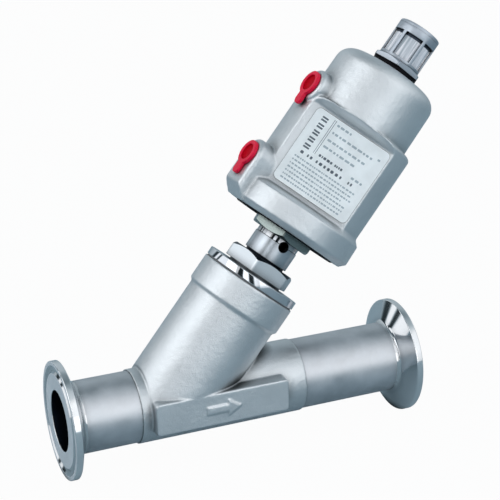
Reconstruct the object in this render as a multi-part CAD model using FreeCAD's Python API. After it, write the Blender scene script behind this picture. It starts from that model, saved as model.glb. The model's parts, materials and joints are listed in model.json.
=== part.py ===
import FreeCAD, Part
import math
import os

# Y-pattern piston valve in stainless steel, closed at rest.
# World frame: origin at the centre of the inlet flange face, X along the pipe, Z up.
# Branch frame: Z along the branch axis from the crossing with the pipe axis,
# X towards the air ports, Y towards the side that carries the type plate.

os.makedirs("parts", exist_ok=True)

Vector = FreeCAD.Vector
ORIGIN = Vector(0, 0, 0)
AXIS_X = Vector(1, 0, 0)
AXIS_Y = Vector(0, 1, 0)
AXIS_Z = Vector(0, 0, 1)
FAR = 400.0

# Pipe run
FACE_TO_FACE = 158.0
BRANCH_AT = 48.2
BRANCH_ANGLE = 50.0
INLET_STUB = 31.5
OUTLET_STUB = 52.0
PIPE_BORE_R = 13.0
TUBE_R = 15.4
SPIGOT_R = 16.0

# Clamp flanges
FLANGE_R = 25.25
FLANGE_RIM = 2.85
FLANGE_BACK_ANGLE = 20.0
FLANGE_EDGE = 0.4
FLANGE_ROOT_R = 2.0
GROOVE_R = 21.75
GROOVE_DEPTH = 1.1
GROOVE_ARC_R = 1.9

# Cast body
BRANCH_R = 20.7
COLLAR_R = 21.9
COLLAR_FOOT = 49.0
COLLAR_SLOPE = 1.4
BODY_TOP = 60.5
PAD_LEFT = 12.4
PAD_RIGHT = 47.2
PAD_TOP = 7.6
PAD_FOOT = 6.6
PAD_CORNER = 1.6
PAD_EDGE = 0.5
ARROW_LENGTH = 15.0
ARROW_SHAFT_W = 3.0
ARROW_HEAD_W = 7.0
ARROW_HEAD_LENGTH = 5.5
ARROW_PROUD = 0.6

# Seat and chamber
SEAT_AT = 6.0
SEAT_WALL = 3.5
SEAT_R = 11.5
SEAT_LIP_WIDTH = 1.5
SEAT_LIP_HEIGHT = 0.8
CHAMBER_R = 16.5
BONNET_THREAD_R = 18.0
BONNET_THREAD_LENGTH = 13.0

# Bonnet
BODY_GASKET_T = 0.5
BODY_GASKET_INSET = 0.8
BONNET_RING_R = 21.7
BONNET_RING_H = 3.4
BONNET_RING_EDGE = 0.3
BONNET_GAP_R = 12.6
BONNET_GAP_H = 1.0
BONNET_HEX_AF = 28.0
BONNET_HEX_H = 6.6
BONNET_HEX_VERTEX = 53.5
NECK_R = 10.2
NECK_H = 9.3
NECK_GROOVE_R = 9.3
NECK_GROOVE_H = 0.9
LAND_R = 9.9
LAND_H = 2.9
TURNING_R = 9.0
CORE_R = 7.0
WEEP_R = 2.4
WEEP_BELOW_LAND = 0.3
WEEP_ANGLE = 84.0
FIT = 0.05
ASSEMBLY_GAP = 0.1
ROD_CLEARANCE = 0.3
LAND_CLEARANCE = 0.3

# Stem packing
STEM_R = 4.5
GUIDE_LENGTH = 9.0
GUIDE_WALL = 2.4
PACKING_FOOT_H = 2.0
CHEVRON_COUNT = 4
CHEVRON_H = 1.6
CHEVRON_RISE = 1.0
PACKING_TOP_H = 1.6
PACKING_SPRING_H = 5.6
PACKING_SPRING_WIRE_R = 0.55
PACKING_SPRING_TURNS = 4.0
GLAND_H = 3.0
GLAND_BELOW_WEEP = 0.4
TOP_BUSH_H = 5.0
ROD_SEAL_H = 2.6
CIRCLIP_T = 1.0
CIRCLIP_BITE = 0.7
CIRCLIP_GAP = 3.0

# Swivel and actuator cover
SWIVEL_WASHER_T = 0.4
COVER_RECESS_H = 1.2
COVER_BOSS_H = 3.9
COVER_BOSS_AF = 26.5
COVER_BOSS_VERTEX = 65.0
COVER_R = 24.4
COVER_INSET = 2.4
COVER_H = 7.6
COVER_CIRCLIP_T = 1.2
DUST_SEAL_WIDTH = 2.2
DUST_SEAL_PROUD = 1.2
DUST_SEAL_EDGE = 0.8
COVER_SEAL_WIRE_R = 1.1
NECK_SEAL_WIRE_R = 0.9
SWIVEL_PLAY = 0.2

# Actuator housing
RIM_BEVEL_H = 2.4
RIM_BEVEL_R = 27.7
RIM_R = 30.1
RIM_TOP_R = 29.8
RIM_H = 11.2
BARREL_R = 27.5
BARREL_FOOT_RISE = 2.4
BARREL_H = 37.5
CROWN_RISE = 3.4
STEP_DEPTH = 24.0
STEP_HALF_W = 17.0
BARREL_EDGE = 2.0
CROWN_R = 24.0
CROWN_TOP_R = 23.7
CROWN_H = 26.0
SHOULDER_R = 6.5
TOP_PAD_R = 14.0
TOP_PAD_H = 0.7
CYLINDER_R = 16.6
TOP_WALL = 5.4
FLAT_DEPTH = 18.6
FLAT_ANGLE = 60.0

# Air ports
LOWER_PORT_RISE = 4.5
UPPER_PORT_RISE = 2.0
LOWER_PORT_PROUD = 4.1
UPPER_PORT_PROUD = 1.1
PORT_BOSS_R = 7.5
PORT_BLOCK_BEVEL = 5.2
PORT_EDGE = 1.8
PORT_R = 4.4
PORT_DEPTH = 8.0
PORT_CHANNEL_R = 2.0
PLUG_SHANK_GAP = 0.1
PLUG_SHANK_LENGTH = 6.5
PLUG_FLANGE_R = 5.5
PLUG_FLANGE_T = 1.6
PLUG_DISH_R = 3.7
PLUG_DISH_DEPTH = 1.2
PLUG_TAB_LENGTH = 10.2
PLUG_TAB_R = 2.4
PLUG_TAB_WAIST = 3.6

# Type plate
PLATE_W = 36.0
PLATE_H = 34.6
PLATE_T = 0.3
PLATE_CORNER = 2.0
PLATE_SHIFT = 1.4
PLATE_RISE = 0.5

# Piston and stem
STROKE = 11.0
PISTON_ABOVE_COVER = 14.0
PISTON_H = 8.0
PISTON_GAP = 0.3
PISTON_HUB_R = 8.0
PISTON_SEAL_H = 3.0
PISTON_SEAL_DEPTH = 2.4
PISTON_BAND_H = 2.0
PISTON_BAND_DEPTH = 1.0
PISTON_RIM_H = 1.4
STEM_END_R = 3.4
STEM_SEAL_WIRE_R = 0.7
PISTON_NUT_AF = 13.0
PISTON_NUT_H = 5.0
PISTON_WASHER_R = 7.0
PISTON_WASHER_T = 1.2
STEM_TAIL = 1.2

# Springs
SPRING_R = 13.0
SPRING_WIRE_R = 1.5
SPRING_TURNS = 6.5
CLOSED_TURNS = 1.0
CLOSED_COIL_PITCH = 1.03
COIL_STEPS = 12

# Valve disc
DISC_R = 13.4
DISC_BACK_H = 3.4
DISC_HUB_R = 7.5
DISC_HUB_H = 3.6
DISC_SEAL_R = 13.1
DISC_SEAL_T = 3.0
DISC_SEAL_BORE_R = 7.0
DISC_SPIGOT_R = 3.2
DISC_WASHER_GAP = 1.0
DISC_WASHER_T = 2.6
DISC_NUT_AF = 10.0
DISC_NUT_H = 4.6

# Position indicator
INDICATOR_SEAL_T = 1.5
INDICATOR_SEAL_R = 10.4
INDICATOR_HEX_AF = 21.0
INDICATOR_HEX_H = 3.1
INDICATOR_HEX_VERTEX = 60.0
INDICATOR_THREAD_R = 7.0
INDICATOR_THREAD_LENGTH = 3.2
INDICATOR_ROD_R = 2.0
GUARD_R = 9.6
GUARD_WALL = 1.1
GUARD_H = 17.0
GUARD_TOP_T = 1.4
GUARD_CROWN = 0.5
WINDOW_COUNT = 6
WINDOW_FOOT = 1.5
WINDOW_H = 10.8
WINDOW_STRUT_ANGLE = 9.0
WINDOW_CENTRE = 57.0
GLASS_GAP = 0.1
GLASS_WALL = 0.9
HEAD_GAP = 0.6
HEAD_H = 3.4
HEAD_LIFT = 0.3

# Stations along the branch axis
FLANGE_SEAT = BODY_TOP + BODY_GASKET_T
RING_TOP = FLANGE_SEAT + BONNET_RING_H
HEX_FOOT = RING_TOP + BONNET_GAP_H
HEX_TOP = HEX_FOOT + BONNET_HEX_H
NECK_TOP = HEX_TOP + NECK_H
LAND_TOP = NECK_TOP + LAND_H
WEEP_AT = NECK_TOP - WEEP_BELOW_LAND
THREAD_FOOT = BODY_TOP - BONNET_THREAD_LENGTH

COVER_SEAT = LAND_TOP + SWIVEL_WASHER_T
BOSS_FOOT = COVER_SEAT - COVER_RECESS_H
HOUSING_FOOT = BOSS_FOOT + COVER_BOSS_H
COVER_FOOT = HOUSING_FOOT + COVER_INSET
COVER_TOP = COVER_FOOT + COVER_H
SWIVEL_CLIP_FOOT = COVER_TOP + SWIVEL_PLAY
BONNET_TOP = SWIVEL_CLIP_FOOT + 2.0 * CIRCLIP_T

RIM_TOP = HOUSING_FOOT + RIM_H
BARREL_FOOT = RIM_TOP + BARREL_FOOT_RISE
BARREL_TOP = BARREL_FOOT + BARREL_H
CROWN_FOOT = BARREL_TOP + CROWN_RISE
CROWN_TOP = CROWN_FOOT + CROWN_H
HOUSING_TOP = CROWN_TOP + TOP_PAD_H
CYLINDER_TOP = CROWN_TOP - TOP_WALL
LOWER_PORT_AT = BARREL_FOOT + LOWER_PORT_RISE
UPPER_PORT_AT = CROWN_FOOT + UPPER_PORT_RISE
LOWER_PORT_FACE = RIM_R + LOWER_PORT_PROUD
UPPER_PORT_FACE = BARREL_R + UPPER_PORT_PROUD

PISTON_FOOT = COVER_TOP + PISTON_ABOVE_COVER
PISTON_TOP = PISTON_FOOT + PISTON_H
PISTON_FLOOR = PISTON_TOP - PISTON_RIM_H
PISTON_R = CYLINDER_R - PISTON_GAP
WASHER_TOP = PISTON_FLOOR + PISTON_WASHER_T
NUT_TOP = WASHER_TOP + PISTON_NUT_H
STEM_TOP = NUT_TOP + STEM_TAIL

SEAL_FACE = SEAT_AT + SEAT_LIP_HEIGHT
SEAL_BACK = SEAL_FACE + DISC_SEAL_T
DISC_TOP = SEAL_BACK + DISC_BACK_H
HUB_TOP = DISC_TOP + DISC_HUB_H
DISC_WASHER_R = SEAT_R - DISC_WASHER_GAP
DISC_WASHER_FOOT = SEAL_FACE - DISC_WASHER_T
DISC_NUT_FOOT = DISC_WASHER_FOOT - DISC_NUT_H
STEM_FOOT = DISC_NUT_FOOT - STEM_TAIL

PACKING_SEAT = THREAD_FOOT + GUIDE_LENGTH + GUIDE_WALL
CHEVRON_FOOT = PACKING_SEAT + PACKING_FOOT_H
CHEVRON_TOP = CHEVRON_FOOT + CHEVRON_COUNT * CHEVRON_H
PACKING_TOP = CHEVRON_TOP + PACKING_TOP_H
GLAND_TOP = WEEP_AT - WEEP_R - GLAND_BELOW_WEEP
GLAND_FOOT = GLAND_TOP - GLAND_H
PACKING_SPRING_TOP = PACKING_TOP + PACKING_SPRING_H
TOP_CLIP_FOOT = BONNET_TOP - 2.0 * CIRCLIP_T
ROD_SEAL_FOOT = TOP_CLIP_FOOT - ROD_SEAL_H
TOP_BUSH_FOOT = ROD_SEAL_FOOT - TOP_BUSH_H

INDICATOR_SEAT = HOUSING_TOP + INDICATOR_SEAL_T
GUARD_FOOT = INDICATOR_SEAT + INDICATOR_HEX_H
GUARD_TOP = GUARD_FOOT + GUARD_H
GUARD_CEILING = GUARD_TOP - GUARD_TOP_T
GUARD_BORE_R = GUARD_R - GUARD_WALL
GLASS_R = GUARD_BORE_R - GLASS_GAP
GLASS_BORE_R = GLASS_R - GLASS_WALL
HEAD_FOOT = GUARD_FOOT + HEAD_LIFT
HEAD_TOP = HEAD_FOOT + HEAD_H

BODY_LEFT = INLET_STUB
BODY_RIGHT = FACE_TO_FACE - OUTLET_STUB


# Basic forms

def rod(radius, low, high):
    return Part.makeCylinder(radius, high - low, Vector(0, 0, low), AXIS_Z)


def ring(bore, radius, low, high):
    return rod(radius, low, high).cut(rod(bore, low, high))


def frustum(low_radius, high_radius, low, high):
    return Part.makeCone(low_radius, high_radius, high - low, Vector(0, 0, low), AXIS_Z)


def torus(radius, wire_radius, height):
    return Part.makeTorus(radius, wire_radius, Vector(0, 0, height), AXIS_Z)


def line(start, end):
    return Part.LineSegment(start, end).toShape()


def arc(start, middle, end):
    return Part.Arc(start, middle, end).toShape()


def turned(points):
    """Solid of revolution about Z from a closed outline of (radius, height) points."""
    outline = [Vector(radius, 0, height) for radius, height in points]
    outline.append(outline[0])
    face = Part.Face(Part.makePolygon(outline))
    return face.revolve(ORIGIN, AXIS_Z, 360)


def hexagon(across_flats, low, high, vertex_angle):
    corner_r = across_flats / math.sqrt(3.0)
    corners = []
    for side in range(7):
        angle = math.radians(vertex_angle + 60.0 * side)
        corners.append(Vector(corner_r * math.cos(angle), corner_r * math.sin(angle), low))
    return Part.Face(Part.makePolygon(corners)).extrude(Vector(0, 0, high - low))


def chamfered_hexagon(across_flats, low, high, vertex_angle, bevel_low, bevel_high):
    """Hexagon whose corners are turned off at its lower end, its upper end or both."""
    corner_r = across_flats / math.sqrt(3.0) + 0.01
    flat_r = across_flats / 2.0 * 0.985
    drop = (corner_r - flat_r) * math.tan(math.radians(32.0))
    envelope = rod(corner_r, low, high)
    if bevel_high:
        tip = frustum(corner_r, flat_r, high - drop, high)
        envelope = envelope.cut(rod(corner_r + 1.0, high - drop, high)).fuse(tip)
    if bevel_low:
        tip = frustum(flat_r, corner_r, low, low + drop)
        envelope = envelope.cut(rod(corner_r + 1.0, low, low + drop)).fuse(tip)
    return hexagon(across_flats, low, high, vertex_angle).common(envelope)


def wire_coil(radius, wire_radius, turns, low, high):
    """Round-wire compression spring with closed end coils, ground flat at low and high."""
    closed_rise = 2.0 * wire_radius * CLOSED_COIL_PITCH
    open_turns = turns - 2.0 * CLOSED_TURNS
    open_rise = high - low - 2.0 * CLOSED_TURNS * closed_rise
    points = []
    for step in range(int(turns * COIL_STEPS) + 1):
        turn = step / COIL_STEPS
        lower_turns = min(turn, CLOSED_TURNS)
        upper_turns = max(turn - turns + CLOSED_TURNS, 0.0)
        middle_turns = turn - lower_turns - upper_turns
        rise = (lower_turns + upper_turns) * closed_rise + middle_turns / open_turns * open_rise
        angle = 2.0 * math.pi * turn
        points.append(Vector(radius * math.cos(angle), radius * math.sin(angle), low + rise))
    curve = Part.BSplineCurve()
    curve.interpolate(points)
    tangent = curve.tangent(curve.FirstParameter)[0]
    section = Part.Wire(Part.makeCircle(wire_radius, points[0], tangent))
    coil = Part.Wire([curve.toShape()]).makePipeShell([section], True, True)
    return coil.common(rod(2.0 * radius, low, high)).Solids[0]


def on_branch(shape):
    """Carry a shape from the branch frame to the world frame."""
    placed = shape.copy()
    placed.rotate(ORIGIN, AXIS_Z, 180.0)
    placed.rotate(ORIGIN, AXIS_Y, 90.0 - BRANCH_ANGLE)
    placed.translate(Vector(BRANCH_AT, 0, 0))
    return placed


def around(shape, angle):
    """Turn a shape about the branch axis, in the branch frame."""
    turned_shape = shape.copy()
    turned_shape.rotate(ORIGIN, AXIS_Z, angle)
    return turned_shape


def along_pipe(radius, start, end):
    return Part.makeCylinder(radius, end - start, Vector(start, 0, 0), AXIS_X)


def save(name, shape):
    shape.removeSplitter().exportStep(os.path.join("parts", name + ".step"))


def save_group(name, shapes):
    Part.makeCompound(shapes).exportStep(os.path.join("parts", name + ".step"))


# Valve body

def pad_outline():
    """Rounded rectangle of the marking pads, seen along Y."""
    left = BRANCH_AT - PAD_LEFT
    right = BRANCH_AT + PAD_RIGHT
    block = Part.makeBox(right - left, 2.0 * BRANCH_R, PAD_TOP + PAD_FOOT, Vector(left, -BRANCH_R, -PAD_FOOT))
    across = [edge for edge in block.Edges if abs(edge.tangentAt(edge.FirstParameter).y) > 0.9]
    block = block.makeFillet(PAD_CORNER, across)
    front = [edge for edge in block.Edges if abs(abs(edge.CenterOfMass.y) - BRANCH_R) < 0.01]
    return block.makeFillet(PAD_EDGE, front)


def flow_arrow():
    """Raised arrow on the marking pad that shows the way of the flow."""
    tail = BRANCH_AT + (PAD_RIGHT - PAD_LEFT - ARROW_LENGTH) / 2.0
    tip = tail + ARROW_LENGTH
    neck = tip - ARROW_HEAD_LENGTH
    middle = (PAD_TOP - PAD_FOOT) / 2.0
    shaft = ARROW_SHAFT_W / 2.0
    wing = ARROW_HEAD_W / 2.0
    outline = [(tail, -shaft), (neck, -shaft), (neck, -wing), (tip, 0.0), (neck, wing), (neck, shaft), (tail, shaft)]
    corners = [Vector(x, -BRANCH_R - ARROW_PROUD, middle + z) for x, z in outline]
    corners.append(corners[0])
    return Part.Face(Part.makePolygon(corners)).extrude(Vector(0, ARROW_PROUD + 1.0, 0))


def body_outside():
    pipe = along_pipe(SPIGOT_R, BODY_LEFT, BODY_RIGHT)
    hull = on_branch(rod(BRANCH_R, -BRANCH_R, COLLAR_FOOT + COLLAR_SLOPE))
    keep = Part.makeBox(FAR, FAR, FAR, Vector(BRANCH_AT - PAD_LEFT, -FAR / 2.0, -PAD_FOOT))
    hull = hull.common(keep)
    collar = on_branch(turned([
        (0.0, COLLAR_FOOT - COLLAR_SLOPE), (BRANCH_R, COLLAR_FOOT - COLLAR_SLOPE),
        (COLLAR_R, COLLAR_FOOT), (COLLAR_R, BODY_TOP - BONNET_RING_EDGE),
        (COLLAR_R - BONNET_RING_EDGE, BODY_TOP), (0.0, BODY_TOP)]))
    return pipe.fuse([hull, collar, pad_outline(), flow_arrow()])


def flow_passages():
    """Inlet way below the seat, outlet way and chamber above it, joined by the seat hole."""
    bore = along_pipe(PIPE_BORE_R, BODY_LEFT, BODY_RIGHT)
    above_seat = on_branch(rod(FAR, SEAT_AT, SEAT_AT + FAR))
    below_seat = on_branch(rod(FAR, SEAT_AT - SEAT_WALL - FAR, SEAT_AT - SEAT_WALL))
    chamber = on_branch(rod(CHAMBER_R, SEAT_AT, THREAD_FOOT))
    thread = on_branch(rod(BONNET_THREAD_R, THREAD_FOOT, BODY_TOP))
    hole = on_branch(rod(SEAT_R, SEAT_AT - SEAT_WALL, SEAT_AT))
    return chamber.fuse([thread, hole, bore.common(above_seat), bore.common(below_seat)])


def make_body():
    lip = on_branch(ring(SEAT_R, SEAT_R + SEAT_LIP_WIDTH, SEAT_AT, SEAT_AT + SEAT_LIP_HEIGHT))
    save("valve_body", body_outside().cut(flow_passages()).fuse(lip))


# Clamp ferrules

def ferrule(stub_length):
    """Flange face at height zero, tube up to stub_length."""
    slope = math.tan(math.radians(FLANGE_BACK_ANGLE))
    root_r = TUBE_R + FLANGE_ROOT_R
    root_z = FLANGE_RIM + (FLANGE_R - root_r) * slope
    bend_z = root_z + FLANGE_ROOT_R * (1.0 + slope)
    bulge = FLANGE_ROOT_R * (1.0 - math.cos(math.radians(45.0)))
    points = [
        Vector(PIPE_BORE_R, 0, 0), Vector(FLANGE_R - FLANGE_EDGE, 0, 0),
        Vector(FLANGE_R, 0, FLANGE_EDGE), Vector(FLANGE_R, 0, FLANGE_RIM - FLANGE_EDGE),
        Vector(FLANGE_R - FLANGE_EDGE, 0, FLANGE_RIM), Vector(root_r, 0, root_z)]
    edges = [line(start, end) for start, end in zip(points[:-1], points[1:])]
    root = Vector(root_r, 0, root_z)
    bend = Vector(TUBE_R, 0, bend_z)
    edges.append(arc(root, Vector(TUBE_R + bulge, 0, root_z + bulge * (1.0 + slope)), bend))
    edges.append(line(bend, Vector(TUBE_R, 0, stub_length)))
    edges.append(line(Vector(TUBE_R, 0, stub_length), Vector(PIPE_BORE_R, 0, stub_length)))
    edges.append(line(Vector(PIPE_BORE_R, 0, stub_length), Vector(PIPE_BORE_R, 0, 0)))
    solid = Part.Face(Part.Wire(edges)).revolve(ORIGIN, AXIS_Z, 360)
    return solid.cut(torus(GROOVE_R, GROOVE_ARC_R, GROOVE_DEPTH - GROOVE_ARC_R))


def make_ferrules():
    inlet = ferrule(INLET_STUB)
    inlet.rotate(ORIGIN, AXIS_Y, 90.0)
    save("inlet_ferrule", inlet)
    outlet = ferrule(OUTLET_STUB)
    outlet.rotate(ORIGIN, AXIS_Y, -90.0)
    outlet.translate(Vector(FACE_TO_FACE, 0, 0))
    save("outlet_ferrule", outlet)


# Bonnet and stem packing

def make_bonnet():
    thread_r = BONNET_THREAD_R - ASSEMBLY_GAP
    outside = turned([
        (0.0, THREAD_FOOT), (thread_r - 1.0, THREAD_FOOT), (thread_r, THREAD_FOOT + 1.0),
        (thread_r, FLANGE_SEAT), (BONNET_RING_R - BONNET_RING_EDGE, FLANGE_SEAT),
        (BONNET_RING_R, FLANGE_SEAT + BONNET_RING_EDGE), (BONNET_RING_R, RING_TOP - BONNET_RING_EDGE),
        (BONNET_RING_R - BONNET_RING_EDGE, RING_TOP), (BONNET_GAP_R, RING_TOP), (BONNET_GAP_R, HEX_FOOT),
        (0.0, HEX_FOOT)])
    neck = turned([
        (0.0, HEX_FOOT), (NECK_GROOVE_R, HEX_FOOT), (NECK_GROOVE_R, HEX_TOP + NECK_GROOVE_H),
        (NECK_R, HEX_TOP + NECK_GROOVE_H), (NECK_R, NECK_TOP), (LAND_R, NECK_TOP), (LAND_R, LAND_TOP),
        (TURNING_R, LAND_TOP), (TURNING_R, BONNET_TOP), (0.0, BONNET_TOP)])
    hexagon_part = chamfered_hexagon(BONNET_HEX_AF, HEX_FOOT, HEX_TOP, BONNET_HEX_VERTEX, False, True)
    solid = outside.fuse([hexagon_part, neck])
    solid = solid.cut(rod(GUIDE_WALL + STEM_R, THREAD_FOOT, THREAD_FOOT + GUIDE_LENGTH))
    solid = solid.cut(rod(STEM_R + ROD_CLEARANCE, THREAD_FOOT, PACKING_SEAT))
    solid = solid.cut(rod(CORE_R, PACKING_SEAT, BONNET_TOP))
    weep = Part.makeCylinder(WEEP_R, NECK_R + 1.0, Vector(0, 0, WEEP_AT), AXIS_X)
    solid = solid.cut(around(weep, WEEP_ANGLE))
    solid = solid.cut(ring(CORE_R, CORE_R + CIRCLIP_BITE, TOP_CLIP_FOOT, TOP_CLIP_FOOT + CIRCLIP_T))
    clip_groove = ring(TURNING_R - CIRCLIP_BITE, TURNING_R, SWIVEL_CLIP_FOOT, SWIVEL_CLIP_FOOT + CIRCLIP_T)
    save("bonnet", on_branch(solid.cut(clip_groove)))
    gasket = ring(BONNET_THREAD_R, COLLAR_R - BODY_GASKET_INSET, BODY_TOP, FLANGE_SEAT)
    save("body_gasket", on_branch(gasket))


def chevron(low):
    """One V-shaped packing ring, its point upwards."""
    inner = STEM_R + FIT
    middle = (inner + CORE_R) / 2.0
    thickness = CHEVRON_H - ASSEMBLY_GAP
    return turned([
        (inner, low), (middle, low + CHEVRON_RISE), (CORE_R, low), (CORE_R, low + thickness),
        (middle, low + thickness + CHEVRON_RISE), (inner, low + thickness)])


def make_packing():
    inner = STEM_R + FIT
    middle = (inner + CORE_R) / 2.0
    lower_bush = ring(inner, STEM_R + GUIDE_WALL, THREAD_FOOT, THREAD_FOOT + GUIDE_LENGTH)
    save("lower_stem_bush", on_branch(lower_bush))
    foot = turned([
        (inner, PACKING_SEAT), (CORE_R, PACKING_SEAT), (CORE_R, CHEVRON_FOOT - ASSEMBLY_GAP),
        (middle, CHEVRON_FOOT + CHEVRON_RISE - ASSEMBLY_GAP), (inner, CHEVRON_FOOT - ASSEMBLY_GAP)])
    save("packing_support_ring", on_branch(foot))
    rings = [on_branch(chevron(CHEVRON_FOOT + CHEVRON_H * index)) for index in range(CHEVRON_COUNT)]
    save_group("packing_rings", rings)
    top = turned([
        (inner, CHEVRON_TOP), (middle, CHEVRON_TOP + CHEVRON_RISE), (CORE_R, CHEVRON_TOP),
        (CORE_R, PACKING_TOP + CHEVRON_RISE), (inner, PACKING_TOP + CHEVRON_RISE)])
    save("packing_pressure_ring", on_branch(top))
    spring_foot = PACKING_TOP + CHEVRON_RISE
    coil = wire_coil(middle, PACKING_SPRING_WIRE_R, PACKING_SPRING_TURNS, spring_foot, GLAND_FOOT)
    save("packing_spring", on_branch(coil))
    save("gland_nut", on_branch(ring(inner, CORE_R, GLAND_FOOT, GLAND_TOP)))
    save("upper_stem_bush", on_branch(ring(inner, CORE_R, TOP_BUSH_FOOT, ROD_SEAL_FOOT)))
    save("stem_seal", on_branch(ring(inner, CORE_R, ROD_SEAL_FOOT, TOP_CLIP_FOOT)))
    save("seal_circlip", on_branch(open_clip(CORE_R - 1.4, CORE_R + CIRCLIP_BITE, TOP_CLIP_FOOT, CIRCLIP_T)))


def open_clip(bore, radius, low, thickness):
    """Flat snap ring with a gap between its ends."""
    clip = ring(bore, radius, low, low + thickness)
    gap = Part.makeBox(radius + 1.0, CIRCLIP_GAP, thickness, Vector(-radius - 1.0, -CIRCLIP_GAP / 2.0, low))
    return clip.cut(gap)


# Swivel between bonnet and actuator

def make_swivel():
    washer = ring(TURNING_R + FIT, LAND_R - ASSEMBLY_GAP, LAND_TOP, COVER_SEAT)
    save("swivel_washer", on_branch(washer))
    clip = open_clip(TURNING_R - CIRCLIP_BITE, TURNING_R + 2.0, SWIVEL_CLIP_FOOT, CIRCLIP_T)
    save("swivel_circlip", on_branch(clip))


def neck_seal_heights():
    span = COVER_TOP - COVER_SEAT
    return [COVER_SEAT + span * share for share in (0.25, 0.75)]


def make_cover():
    boss = chamfered_hexagon(COVER_BOSS_AF, BOSS_FOOT, COVER_FOOT, COVER_BOSS_VERTEX, True, False)
    disc = turned([
        (0.0, COVER_FOOT), (COVER_R, COVER_FOOT), (COVER_R, COVER_TOP - 0.8),
        (COVER_R - 0.8, COVER_TOP), (0.0, COVER_TOP)])
    solid = boss.fuse(disc).cut(rod(TURNING_R + FIT, BOSS_FOOT, COVER_TOP))
    solid = solid.cut(rod(LAND_R + LAND_CLEARANCE, BOSS_FOOT, COVER_SEAT))
    groove_r = TURNING_R + FIT + 2.0 * NECK_SEAL_WIRE_R
    for height in neck_seal_heights():
        low = height - NECK_SEAL_WIRE_R
        solid = solid.cut(ring(TURNING_R, groove_r, low, low + 2.0 * NECK_SEAL_WIRE_R))
    seal_at = COVER_FOOT + COVER_H / 2.0
    low = seal_at - COVER_SEAL_WIRE_R
    bed_r = COVER_R + ASSEMBLY_GAP - 2.0 * COVER_SEAL_WIRE_R
    solid = solid.cut(ring(bed_r, COVER_R + 1.0, low, low + 2.0 * COVER_SEAL_WIRE_R))
    save("actuator_cover", on_branch(solid))
    save("cover_o_ring", on_branch(torus(bed_r + COVER_SEAL_WIRE_R, COVER_SEAL_WIRE_R, seal_at)))
    seal_r = TURNING_R + FIT + NECK_SEAL_WIRE_R
    seals = [on_branch(torus(seal_r, NECK_SEAL_WIRE_R, height)) for height in neck_seal_heights()]
    save_group("neck_o_rings", seals)
    clip_low = COVER_FOOT - COVER_CIRCLIP_T
    clip = open_clip(COVER_R - 2.4, COVER_R + ASSEMBLY_GAP + 1.0, clip_low, COVER_CIRCLIP_T)
    save("cover_circlip", on_branch(around(clip, 180.0)))
    low = HOUSING_FOOT - DUST_SEAL_PROUD
    dust_seal = turned([
        (COVER_R - DUST_SEAL_WIDTH, low), (COVER_R - DUST_SEAL_EDGE, low), (COVER_R, low + DUST_SEAL_EDGE),
        (COVER_R, clip_low), (COVER_R - DUST_SEAL_WIDTH, clip_low)])
    save("cover_dust_seal", on_branch(dust_seal))


# Actuator housing

def round_section(radius, height, half_angle):
    """Circle split where the flat begins and ends."""
    centre = FLAT_ANGLE

    def at(angle):
        turn = math.radians(angle)
        return Vector(radius * math.cos(turn), radius * math.sin(turn), height)

    start = centre - half_angle
    end = centre + half_angle
    front = arc(at(start), at(centre), at(end))
    back = arc(at(end), at(centre + 180.0), at(start))
    return Part.Wire([front, back])


def flat_section(radius, height, half_angle):
    """Circle of the barrel with the plate flat cut across it."""
    start = math.radians(FLAT_ANGLE - half_angle)
    end = math.radians(FLAT_ANGLE + half_angle)
    left = Vector(radius * math.cos(start), radius * math.sin(start), height)
    right = Vector(radius * math.cos(end), radius * math.sin(end), height)
    far = math.radians(FLAT_ANGLE + 180.0)
    back = arc(right, Vector(radius * math.cos(far), radius * math.sin(far), height), left)
    return Part.Wire([line(left, right), back])


def step_section(height):
    """Circle of the barrel, drawn in to a shallow arch above the plate flat."""
    reach = math.degrees(math.asin(STEP_HALF_W / BARREL_R))
    start = math.radians(FLAT_ANGLE - reach)
    end = math.radians(FLAT_ANGLE + reach)
    middle = math.radians(FLAT_ANGLE)
    left = Vector(BARREL_R * math.cos(start), BARREL_R * math.sin(start), height)
    right = Vector(BARREL_R * math.cos(end), BARREL_R * math.sin(end), height)
    far = Vector(-BARREL_R * math.cos(middle), -BARREL_R * math.sin(middle), height)
    crest = Vector(STEP_DEPTH * math.cos(middle), STEP_DEPTH * math.sin(middle), height)
    return Part.Wire([arc(left, crest, right), arc(right, far, left)])


def barrel_envelope():
    """Round form of the barrel, its upper edge eased."""
    corner = Vector(BARREL_R - BARREL_EDGE, 0, CROWN_FOOT - BARREL_EDGE)
    lean = math.radians(45.0)
    middle = corner + Vector(BARREL_EDGE * math.cos(lean), 0, BARREL_EDGE * math.sin(lean))
    foot = Vector(0, 0, BARREL_FOOT)
    top = Vector(0, 0, CROWN_FOOT)
    outer_foot = Vector(BARREL_R, 0, BARREL_FOOT)
    edges = [
        line(foot, outer_foot), line(outer_foot, corner + Vector(BARREL_EDGE, 0, 0)),
        arc(corner + Vector(BARREL_EDGE, 0, 0), middle, corner + Vector(0, 0, BARREL_EDGE)),
        line(corner + Vector(0, 0, BARREL_EDGE), top), line(top, foot)]
    return Part.Face(Part.Wire(edges)).revolve(ORIGIN, AXIS_Z, 360)


def lofted(lower, upper):
    return Part.makeLoft([lower, upper], True, True)


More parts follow.
